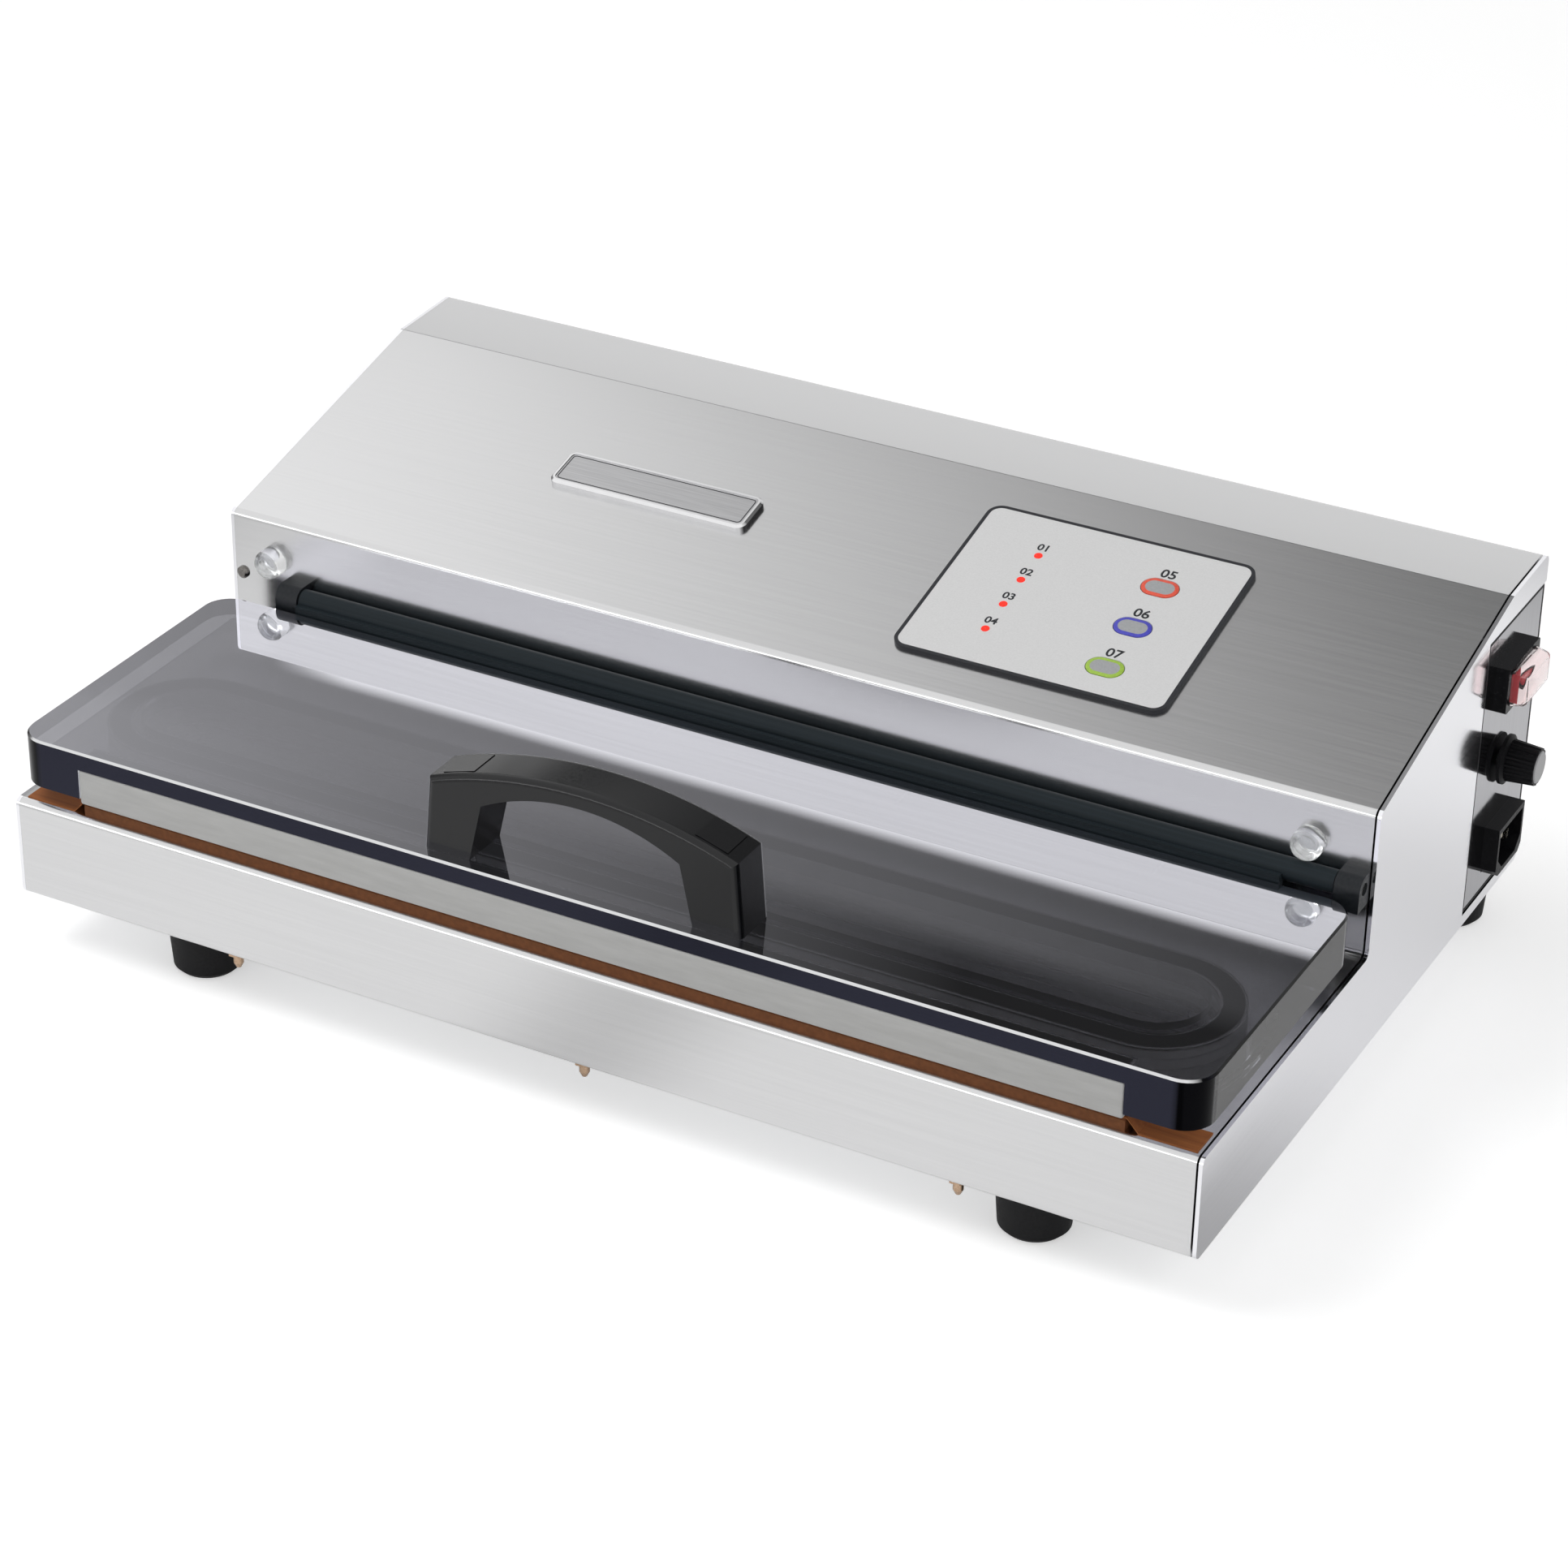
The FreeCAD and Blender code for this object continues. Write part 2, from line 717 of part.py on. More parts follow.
# Feet: tapered rubber with a boss up to the base plate, each held by a sunk screw
def feet():
    rubber, screws = [], []
    for k, (x, y) in enumerate(foot_spots()):
        body = new_body("foot_%d" % (k + 1))
        bore = plus("foot_screw_radius", "seat_fit")
        well = plus("foot_head_radius", "fit_gap")
        turn(body, (well, "0"), (less("foot_base_radius", "foot_bevel"), "0"),
             ("foot_base_radius", "foot_bevel"), ("foot_top_radius", BOTTOM), ("foot_boss_radius", BOTTOM),
             ("foot_boss_radius", plus(BOTTOM, "sheet_gauge")), (bore, plus(BOTTOM, "sheet_gauge")),
             (bore, "foot_head_depth"), (well, "foot_head_depth"))
        place(body, x, y)
        rubber.append(body)
        screw = new_body("foot_screw_%d" % (k + 1))
        turn(screw, ("0", less("foot_head_depth", "foot_head_height")),
             ("foot_head_radius", less("foot_head_depth", "foot_head_height")),
             ("foot_head_radius", "foot_head_depth"), ("foot_screw_radius", "foot_head_depth"),
             ("foot_screw_radius", plus(FLOOR, "foot_screw_end")), ("0", plus(FLOOR, "foot_screw_end")))
        place(screw, x, y)
        screws.append(screw)
    group("feet", rubber)
    group("foot_screws", screws)


# Lid: a thick clear slab with a rebate for the seal pad and a racetrack recess below
def lid_panel():
    body = new_body("lid_panel")
    pad(body, "XY_Plane", LID_LOW, LID_TOP,
        rounded(minus(LID_SIDE), LID_SIDE, "lid_front", LID_REAR, "lid_corner"))
    dress(body, "Chamfer", "lid_edge", lambda edge: lies(edge, "z", LID_TOP))
    pocket(body, "XY_Plane", less(LID_LOW, "overcut"), plus(LID_LOW, "pad_rise"),
           rect(minus(PAD_HALF), PAD_HALF, "lid_front - overcut", "lid_front + pad_depth"))
    pocket(body, "XY_Plane", less(LID_LOW, "overcut"), plus(LID_LOW, "lid_recess"),
           track(TRACK_HALF, "track_y", TROUGH_RADIUS))
    pocket(body, "XY_Plane", less(LID_LOW, "overcut"), plus(LID_LOW, "gasket_seat"),
           track(TRACK_HALF, "track_y", "gasket_radius + seat_fit"),
           track(TRACK_HALF, "track_y", "gasket_radius - gasket_band - seat_fit"))
    holes = [("%s * handle_screw_x" % sign, "handle_y + handle_width / 2") for sign in ("-1", "1")]
    pocket(body, "XY_Plane", less(LID_LOW, "overcut"), plus(LID_TOP, "overcut"),
           *[circle(x, y, plus("handle_screw_radius", "seat_fit")) for x, y in holes])
    pocket(body, "XY_Plane", less(LID_LOW, "overcut"), plus(LID_LOW, "handle_head_height", "fit_gap"),
           *[circle(x, y, plus("handle_head_radius", "fit_gap")) for x, y in holes])
    pocket(body, "XZ_Plane", less(LID_REAR, "bar_screw_length"), plus(LID_REAR, "overcut"),
           *[circle(x, bar_screw_level(), plus("bar_screw_radius", "seat_fit")) for x in bar_screw_spots()])
    keep(body)


# Seal pad: the silicone strip that presses the bag onto the heated line
def seal_pad():
    body = new_body("seal_pad")
    half = less(PAD_HALF, "seat_fit")
    pad(body, "XY_Plane", plus(TAPE_TOP, "pad_air"), plus(LID_LOW, "pad_rise"),
        rect(minus(half), half, "lid_front", "lid_front + pad_depth"))
    low = plus(TAPE_TOP, "pad_air")
    dress(body, "Fillet", "pad_round", lambda edge: runs(edge, "x") and lies(edge, "z", low))
    keep(body)


# Gaskets: racetrack foam rings, one set in the lid and one lying on the deck
def gaskets():
    upper = new_body("upper_gasket")
    pad(upper, "XY_Plane", plus(DECK, "gasket_height", "gasket_air"), plus(LID_LOW, "gasket_seat"),
        track(TRACK_HALF, "track_y", "gasket_radius"),
        track(TRACK_HALF, "track_y", "gasket_radius - gasket_band"))
    keep(upper)
    lower = new_body("lower_gasket")
    pad(lower, "XY_Plane", DECK, plus(DECK, "gasket_height"),
        track(TRACK_HALF, "track_y", "gasket_radius"),
        track(TRACK_HALF, "track_y", "gasket_radius - gasket_band"))
    pad(lower, "XY_Plane", DECK, plus(DECK, "tab_gauge"),
        rounded(TAB_X + " - tab_width / 2", TAB_X + " + tab_width / 2", "track_y + gasket_radius - tab_lap",
                "track_y + gasket_radius + tab_reach", "tab_round"))
    keep(lower)


# Vacuum trough: a pressed racetrack pan let into the deck, with a port in its floor
def vacuum_trough():
    body = new_body("vacuum_trough")
    under = less(DECK, "sheet_gauge")
    pad(body, "XY_Plane", less(DECK, "trough_depth", "trough_gauge"), DECK,
        track(TRACK_HALF, "track_y", TROUGH_RADIUS))
    pad(body, "XY_Plane", less(under, "trough_gauge"), under,
        track(TRACK_HALF, "track_y", plus(TROUGH_RADIUS, "trough_flange")))
    pocket(body, "XY_Plane", less(DECK, "trough_depth"), plus(DECK, "overcut"),
           track(TRACK_HALF, "track_y", less(TROUGH_RADIUS, "trough_gauge")))
    pocket(body, "XY_Plane", less(DECK, "trough_depth", "trough_gauge", "overcut"), plus(DECK, "overcut"),
           circle(PORT_X, "port_y", plus("port_radius", "seat_fit")))
    keep(body)
    port = new_body("vacuum_port")
    floor = less(DECK, "trough_depth")
    turn(port, ("port_bore", less(floor, "port_drop")), ("port_radius", less(floor, "port_drop")),
         ("port_radius", floor), ("port_collar", floor), ("port_collar", plus(floor, "collar_gauge")),
         ("port_radius", plus(floor, "port_rise")), ("port_bore", plus(floor, "port_rise")))
    keep(port, PORT_X, "port_y")


# Seal line: a bar on the deck with a heating ribbon under a non-stick tape
def seal_line():
    bar = new_body("seal_bar")
    pad(bar, "XY_Plane", DECK, BAR_TOP,
        rect(minus(PAD_HALF), PAD_HALF, "bar_y", "bar_y + bar_width"))
    dress(bar, "Chamfer", "bar_edge", lambda edge: runs(edge, "x") and lies(edge, "z", BAR_TOP))
    pocket(bar, "XY_Plane", less(DECK, "overcut"), plus(DECK, "stud_grip"),
           *stud_holes("seat_fit"))
    keep(bar)
    ribbon = new_body("heating_ribbon")
    pad(ribbon, "XY_Plane", BAR_TOP, plus(BAR_TOP, "ribbon_gauge"),
        rect(minus(PAD_HALF), PAD_HALF, STUD_Y + " - ribbon_width / 2",
             STUD_Y + " + ribbon_width / 2"))
    keep(ribbon)
    tape = new_body("seal_tape")
    end = less(SIDE, "tape_side")
    foot = plus(PAD_HALF, "tape_ramp")
    shoulder = plus(PAD_HALF, "tape_lap")
    low, high = "(%s + tape_gauge)" % DECK, TAPE_TOP
    pad(tape, "XZ_Plane", "tape_y", "tape_y + tape_width",
        path((minus(end), DECK), (minus(foot), DECK),
             (minus(shoulder), less(high, "tape_gauge")), (shoulder, less(high, "tape_gauge")),
             (foot, DECK), (end, DECK), (end, low), (foot, low), (shoulder, high), (minus(shoulder), high),
             (minus(foot), low), (minus(end), low)))
    keep(tape)
    studs, nuts = [], []
    for k in (-1, 0, 1):
        stud = new_body("stud_%d" % (k + 2))
        turn(stud, ("0", less(BOTTOM, "stud_reach")), ("stud_tip", less(BOTTOM, "stud_reach")),
             ("stud_radius", plus(BOTTOM, "stud_lead - stud_reach")),
             ("stud_radius", plus(DECK, "stud_grip")), ("0", plus(DECK, "stud_grip")))
        place(stud, "%d * %s" % (k, STUD_X), STUD_Y)
        studs.append(stud)
        nut = doc.addObject("Part::Prism", "nut_%d" % (k + 2))
        nut.Polygon = 6
        nut.setExpression("Circumradius", bound("nut_radius"))
        nut.setExpression("Height", bound("nut_height"))
        place(nut, "%d * %s" % (k, STUD_X), STUD_Y, less(BOTTOM, "nut_height"))
        bore = rod("nut_bore_%d" % (k + 2), "%d * %s" % (k, STUD_X), STUD_Y,
                   less(BOTTOM, "nut_height", "overcut"), plus("stud_radius", "seat_fit"),
                   "nut_height + 2 * overcut")
        cut = doc.addObject("Part::Cut", "bored_nut_%d" % (k + 2))
        cut.Base, cut.Tool = nut, bore
        nuts.append(cut)
    group("seal_bar_studs", studs)
    group("stud_nuts", nuts)


# Hinge: a black bar on the lid turns on a steel shaft held in two blocks on the face
def bar_screw_spots():
    middle = "(%s + %s) / 2" % (BAR_LEFT, BAR_RIGHT)
    return [plus(middle, "%g * bar_screw_pitch" % k) for k in (-1.5, -0.5, 0.5, 1.5)]


def bar_screw_level():
    return less(LID_TOP, "bar_screw_drop")


def hinge():
    bar = new_body("hinge_bar")
    pad(bar, "YZ_Plane", BAR_LEFT, BAR_RIGHT, circle(PIVOT_Y, PIVOT_Z, "bar_radius"))
    pad(bar, "YZ_Plane", BAR_LEFT, TONGUE_RIGHT,
        rect(LID_REAR, plus(LID_REAR, "tongue_gauge"), plus(LID_LOW, "tongue_low"), PIVOT_Z))
    pocket(bar, "YZ_Plane", less(BAR_LEFT, "overcut"), plus(BAR_RIGHT, "overcut"),
           circle(PIVOT_Y, PIVOT_Z, "shaft_radius + running_fit"))
    pocket(bar, "XZ_Plane", less(LID_REAR, "overcut"), plus(LID_REAR, "tongue_gauge", "overcut"),
           *[circle(x, bar_screw_level(), plus("bar_screw_radius", "seat_fit")) for x in bar_screw_spots()])
    keep(bar)
    screws = []
    for k, x in enumerate(bar_screw_spots()):
        screw = new_body("bar_screw_%d" % (k + 1))
        tip = "tongue_gauge - bar_screw_length"
        turn(screw, ("0", tip), ("bar_screw_radius", tip),
             ("bar_screw_radius", "tongue_gauge"), ("bar_screw_head", "tongue_gauge"),
             ("bar_screw_head", "tongue_gauge + bar_screw_cap"), ("0", "tongue_gauge + bar_screw_cap"))
        place(screw, x, LID_REAR, bar_screw_level(), (1, 0, 0), "-90")
        screws.append(screw)
    group("hinge_bar_screws", screws)
    left = less("block_left", SIDE)
    right = less(SIDE, "block_right", "block_width")
    for label, start in (("pivot_block_left", left), ("pivot_block_right", right)):
        body = new_body(label)
        stop = plus(start, "block_width")
        nose = less(PIVOT_Y, "block_nose")
        low, high = less(PIVOT_Z, "block_drop"), plus(PIVOT_Z, "block_nose")
        pad(body, "YZ_Plane", start, stop,
            path(("deck_depth", high), (PIVOT_Y, high, "block_nose"), (nose, PIVOT_Z), (nose, low),
                 ("deck_depth", low)))
        pocket(body, "YZ_Plane", less(start, "overcut"), plus(stop, "overcut"),
               circle(PIVOT_Y, PIVOT_Z, "shaft_radius + seat_fit"))
        keep(body)
    shaft = new_body("hinge_shaft")
    pad(shaft, "YZ_Plane", plus(left, "shaft_inset"), plus(right, "block_width", "-shaft_inset"),
        circle(PIVOT_Y, PIVOT_Z, "shaft_radius"))
    keep(shaft)


# Face fittings: clear bumpers that stop the open lid, and a pan-head screw
def face_fittings():
    bumpers = []
    rise = plus(PIVOT_Z, "bar_radius", "fit_gap", "bumper_radius")
    for k, x in enumerate((less("bumper_left", SIDE), less(SIDE, "bumper_right"))):
        bumper = new_body("bumper_%d" % (k + 1))
        turn(bumper, ("0", "0"), ("bumper_radius", "0"), ("bumper_radius", "bumper_wall"),
             ("bumper_tip", "bumper_reach"), ("0", "bumper_reach"))
        place(bumper, x, "deck_depth", rise, (1, 0, 0), "90")
        bumpers.append(bumper)
    group("lid_bumpers", bumpers)
    screw = new_body("face_screw")
    turn(screw, ("0", "-face_screw_length"), ("face_screw_radius", "-face_screw_length"),
         ("face_screw_radius", "0"), ("face_screw_head", "0"), ("face_screw_head", "face_screw_rim"),
         ("face_screw_crown", "face_screw_cap"), ("0", "face_screw_cap"))
    keep(screw, less("face_screw_side", SIDE), "deck_depth", plus(DECK, "face_screw_rise"), (1, 0, 0), "90")


# Handle: a bow over a finger gap, with a cap let into the top of each leg
def handle():
    body = new_body("handle")
    shoulder = plus(LID_TOP, "handle_shoulder_rise")
    inside = plus(LID_TOP, "grip_shoulder_rise")
    back = "(handle_y + handle_width)"
    pad(body, "XZ_Plane", "handle_y", back,
        path(("handle_foot", LID_TOP), ("handle_shoulder", shoulder, HANDLE_R),
             ("-handle_shoulder", shoulder), ("-handle_foot", LID_TOP), ("-grip_foot", LID_TOP),
             ("-grip_shoulder", inside, "-" + GRIP_R), ("grip_shoulder", inside), ("grip_foot", LID_TOP)))
    middle = "(handle_y + handle_width / 2)"
    reach = "(cap_width / 2 + fit_gap / 2)"
    pocket(body, "XZ_Plane", less(middle, reach), plus(middle, reach),
           *[path(*cap_outline(sign, "fit_gap / 2", "handle_crown")) for sign in (-1, 1)])
    dress(body, "Fillet", "handle_round", lambda edge: outer_edge(edge, ("handle_y", back)))
    pocket(body, "XY_Plane", less(LID_TOP, "overcut"), plus(LID_TOP, "handle_screw_grip"),
           *[circle("%d * handle_screw_x" % sign, middle, "handle_screw_radius + seat_fit")
             for sign in (-1, 1)])
    keep(body)
    caps, screws = [], []
    for sign in (-1, 1):
        cap = new_body("cap_%d" % (sign + 2))
        pad(cap, "XZ_Plane", middle + " - cap_width / 2", middle + " + cap_width / 2",
            path(*cap_outline(sign, "0", "cap_proud")))
        caps.append(cap)
        screw = new_body("handle_screw_%d" % (sign + 2))
        turn(screw, ("0", LID_LOW), ("handle_head_radius", LID_LOW),
             ("handle_head_radius", plus(LID_LOW, "handle_head_height")),
             ("handle_screw_radius", plus(LID_LOW, "handle_head_height")),
             ("handle_screw_radius", plus(LID_TOP, "handle_screw_grip", "-handle_screw_tip")),
             ("0", plus(LID_TOP, "handle_screw_grip", "-handle_screw_tip")))
        place(screw, "%d * handle_screw_x" % sign, middle)
        screws.append(screw)
    group("handle_caps", caps)
    group("handle_screws", screws)


def outer_edge(edge, faces):
    """True for the front and back edges of the handle's outside, not those of its finger gap."""
    spot = edge.valueAt((edge.FirstParameter + edge.LastParameter) / 2)
    outside = abs(spot.x) > number("grip_foot + fit_gap") or spot.z > number(plus(LID_TOP, "grip_crown + 1"))
    rises = edge.BoundBox.ZMax > number(LID_TOP) + 1
    return outside and rises and any(lies(edge, "y", face) for face in faces)


def cap_outline(sign, gap, proud):
    """A cap's outline in the handle's front view, whose top keeps to the handle's crown."""
    def crown(x):
        return plus(LID_TOP, "handle_crown", minus(HANDLE_R), "sqrt(%s^2 - (%s)^2)" % (HANDLE_R, x))
    inner, outer = less("cap_inner", gap), plus("cap_outer", gap)
    floor = less("0", "cap_depth", gap)
    corners = [(inner, plus(crown(inner), floor)), (outer, plus(crown(outer), floor)),
               (outer, plus(crown(outer), proud)), (inner, plus(crown(inner), proud))]
    return [("%d * (%s)" % (sign, x), z) for x, z in corners][::sign]


# Keypad: an overlay on the slope with windows for four lights and three soft buttons
def keypad():
    overlay = new_body("keypad_overlay")
    pad(overlay, "XY_Plane", "0", "panel_gauge",
        rounded("panel_left", "panel_left + panel_width", "-panel_length / 2", "panel_length / 2",
                "panel_corner"))
    hole = "button_width / 2 + button_gap"
    half = "(button_length - button_width) / 2"
    windows = [oval("button_x", "button_low + %d * button_pitch" % k, half, hole) for k in range(3)]
    windows += [circle("light_x", "light_low + %d * light_pitch" % k, "light_radius + light_gap")
                for k in range(4)]
    pocket(overlay, "XY_Plane", "-overcut", "panel_gauge + overcut", *windows)
    keep_on_slope(overlay)
    for k, label in enumerate(("start_button", "seal_button", "stop_button")):
        button = new_body(label)
        high = "panel_gauge + button_proud"
        pad(button, "XY_Plane", less(high, "button_gauge"), high,
            oval("button_x", "button_low + %d * button_pitch" % k, half, "button_width / 2"))
        keep_on_slope(button)
    lights = []
    for k in range(4):
        light = rod("light_%d" % (k + 1), "light_x", "light_low + %d * light_pitch" % k, "0",
                    "light_radius", "panel_gauge + light_proud")
        lights.append(light)
    keep_on_slope(group("status_lights", lights))


# Badge: a raised bare plate in a bright frame
def badge():
    right, high = "badge_left + badge_width", "badge_low + badge_length"
    frame = new_body("badge_frame")
    pad(frame, "XY_Plane", "0", "badge_gauge",
        rounded("badge_left", right, "badge_low", high, "badge_corner"))
    dress(frame, "Chamfer", "badge_edge", lambda edge: lies(edge, "z", "badge_gauge"))
    floor = "badge_gauge - badge_inset"
    pocket(frame, "XY_Plane", floor, "badge_gauge + overcut", badge_opening("badge_rim"))
    keep_on_slope(frame)
    insert = new_body("badge_insert")
    pad(insert, "XY_Plane", floor, floor + " + badge_skin", badge_opening("badge_rim + seat_fit"))
    keep_on_slope(insert)


def badge_opening(rim):
    """The badge's outline drawn in by a rim."""
    return rounded(plus("badge_left", rim), less("badge_left + badge_width", rim), plus("badge_low", rim),
                   less("badge_low + badge_length", rim), less("badge_corner", rim))


# Control plate: set in a notch of the right side panel, lapped behind its edges
def control_plate():
    body = new_body("control_plate")
    front, back = "(body_depth - plate_back - plate_width)", "(body_depth - plate_back)"
    low, high = "(foot_height + plate_low)", "(foot_height + plate_low + plate_height)"
    behind = less(SIDE, "side_gauge")
    pad(body, "YZ_Plane", behind, PLATE, rect(front, back, low, high))
    pad(body, "YZ_Plane", less(behind, LAP_GAUGE), behind,
        rect(front + " - plate_lap", back + " - sheet_gauge - fit_gap", low + " - lap_low",
             high + " + plate_lap"))
    pocket(body, "YZ_Plane", less(behind, LAP_GAUGE, "overcut"), plus(SIDE, "overcut"),
           window(SWITCH_Y, SWITCH_Z, "switch_neck_length + fit_gap", "switch_neck_width + fit_gap"),
           window(INLET_Y, INLET_Z, "inlet_neck_length + fit_gap", "inlet_neck_width + fit_gap"),
           circle(KNOB_Y, KNOB_Z, "bush_radius + seat_fit"))
    keep(body)


def window(y, z, length, width):
    y, z = "(%s)" % y, "(%s)" % z
    return rect(y + " - (%s) / 2" % length, y + " + (%s) / 2" % length,
                z + " - (%s) / 2" % width, z + " + (%s) / 2" % width)


# Power switch: a framed well with a rocker, under a clear splash hood
def power_switch():
    body = new_body("switch_frame")
    top = plus(PLATE, "switch_reach")
    pad(body, "YZ_Plane", PLATE, top, window(SWITCH_Y, SWITCH_Z, "switch_length", "switch_width"))
    dress(body, "Fillet", "switch_round", lambda edge: runs(edge, "x"))
    pad(body, "YZ_Plane", less(PLATE, "switch_depth"), PLATE,
        window(SWITCH_Y, SWITCH_Z, "switch_neck_length", "switch_neck_width"))
    pocket(body, "YZ_Plane", less(top, "well_depth"), plus(top, "overcut"),
           window(SWITCH_Y, SWITCH_Z, "well_length", "well_width"))
    pin_end = "rocker_width / 2 + rocker_pin_reach"
    pivot = plus(PLATE, "rocker_pivot")
    pocket(body, "XY_Plane", less(SWITCH_Z, pin_end, "fit_gap"), plus(SWITCH_Z, pin_end, "fit_gap"),
           circle(pivot, SWITCH_Y, "rocker_pin_radius + running_fit"))
    keep(body)
    rocker = new_body("switch_rocker")
    half = "(rocker_length / 2)"
    pad(rocker, "XY_Plane", "-rocker_width / 2", "rocker_width / 2",
        path(("-rocker_back", "rocker_taper - " + half), ("rocker_rim", "-" + half), ("rocker_dip", "0"),
             ("rocker_rim", half), ("-rocker_back", half + " - rocker_taper")))
    pad(rocker, "XY_Plane", minus(pin_end), pin_end, circle("0", "0", "rocker_pin_radius"))
    keep(rocker, pivot, SWITCH_Y, SWITCH_Z, (0, 0, 1), "rocker_tilt")
    hood = new_body("switch_hood")
    crown = plus(top, "hood_reach")
    pad(hood, "YZ_Plane", top, crown, window(SWITCH_Y, SWITCH_Z, "hood_length", "hood_width"))
    dress(hood, "Fillet", "hood_round", lambda edge: runs(edge, "x"))
    dress(hood, "Chamfer", "hood_wall", lambda edge: lies(edge, "x", crown))
    half_length, half_width = "hood_length / 2 - hood_wall", "hood_width / 2 - hood_wall"
    pocket(hood, "YZ_Plane", less(top, "overcut"), less(crown, "hood_wall"),
           rounded(less(SWITCH_Y, half_length), plus(SWITCH_Y, half_length), less(SWITCH_Z, half_width),
                   plus(SWITCH_Z, half_width), "hood_round - hood_wall"))
    keep(hood)


# Time knob: a fluted knob with a pale cap, on the spindle of a potentiometer
def time_knob():
    pot = new_body("potentiometer")
    behind = less("plate_recess", "side_gauge", LAP_GAUGE)
    tail = less(behind, "pot_depth")
    turn(pot, ("spindle_radius + running_fit", tail), ("pot_radius", tail),
         ("pot_radius", behind), ("bush_radius", behind), ("bush_radius", "bush_reach"),
         ("spindle_radius + running_fit", "bush_reach"))
    keep(pot, PLATE, KNOB_Y, KNOB_Z, (0, 1, 0), "90")
    spindle = new_body("knob_spindle")
    turn(spindle, ("0", "-spindle_tail"), ("spindle_radius", "-spindle_tail"),
         ("spindle_radius", "spindle_reach"), ("0", "spindle_reach"))
    keep(spindle, PLATE, KNOB_Y, KNOB_Z, (0, 1, 0), "90")
    knob = new_body("time_knob")
    high = "(knob_reach + plate_recess)"
    turn(knob, ("spindle_radius + seat_fit", "knob_air"), ("skirt_radius", "knob_air"),
         ("skirt_radius", "knob_air + skirt_wall"), ("grip_radius", "knob_air + skirt_height"),
         ("tip_radius", high + " - knob_cap_seat"),
         ("knob_cap_radius + seat_fit", high + " - knob_cap_seat"),
         ("knob_cap_radius + seat_fit", high + " - knob_cap_gauge"), ("0", high + " - knob_cap_gauge"),
         ("0", "spindle_reach"), ("spindle_radius + seat_fit", "spindle_reach"))
    flute = pocket(knob, "XY_Plane", "knob_air + skirt_height", high,
                   circle("grip_radius", "0", "flute_radius"))
    ring = knob.newObject("PartDesign::PolarPattern", "time_knob_flutes")
    ring.Originals = [flute]
    ring.Axis = (flute.Profile[0], ["N_Axis"])
    ring.Angle = 360
    ring.setExpression("Occurrences", bound("flute_count"))
    knob.Tip = ring
    keep(knob, PLATE, KNOB_Y, KNOB_Z, (0, 1, 0), "90")
    cap = new_body("knob_cap")
    pad(cap, "XY_Plane", high + " - knob_cap_gauge", high, circle("0", "0", "knob_cap_radius"))
    dress(cap, "Chamfer", "knob_cap_edge", lambda edge: lies(edge, "z", high))
    keep(cap, PLATE, KNOB_Y, KNOB_Z, (0, 1, 0), "90")


# Mains inlet: a three-blade appliance socket with two bevelled corners
def inlet():
    body = new_body("inlet_socket")
    top = plus(PLATE, "inlet_reach")
    pad(body, "YZ_Plane", PLATE, top, window(INLET_Y, INLET_Z, "inlet_length", "inlet_width"))
    middle = number(INLET_Z)
    dress(body, "Chamfer", "inlet_bevel", lambda edge: runs(edge, "x") and edge.CenterOfMass.z < middle)
    pad(body, "YZ_Plane", less(PLATE, "inlet_depth"), PLATE,
        window(INLET_Y, INLET_Z, "inlet_neck_length - socket_bevel", "inlet_neck_width - socket_bevel / 2"))
    floor = less(top, "socket_depth")
    left, right = INLET_Y + " - socket_length / 2", INLET_Y + " + socket_length / 2"
    low, high = INLET_Z + " - socket_width / 2", INLET_Z + " + socket_width / 2"
    pocket(body, "YZ_Plane", floor, plus(top, "overcut"),
           path((left + " + socket_bevel", low), (right + " - socket_bevel", low),
                (right, low + " + socket_bevel"), (right, high), (left, high),
                (left, low + " + socket_bevel")))
    spots = [(INLET_Y + " - blade_pitch", INLET_Z + " - blade_drop"), (INLET_Y, INLET_Z + " + blade_drop"),
             (INLET_Y + " + blade_pitch", INLET_Z + " - blade_drop")]
    pocket(body, "YZ_Plane", less(PLATE, "inlet_depth", "overcut"), plus(floor, "overcut"),
           *[window(y, z, "blade_gauge + 2 * seat_fit", "blade_width + 2 * seat_fit") for y, z in spots])
    keep(body)
    blades = []
    for k, (y, z) in enumerate(spots):
        blade = new_body("blade_%d" % (k + 1))
        pad(blade, "YZ_Plane", less(floor, "blade_tail"), plus(floor, "blade_length"),
            window(y, z, "blade_gauge", "blade_width"))
        blades.append(blade)
    group("inlet_blades", blades)


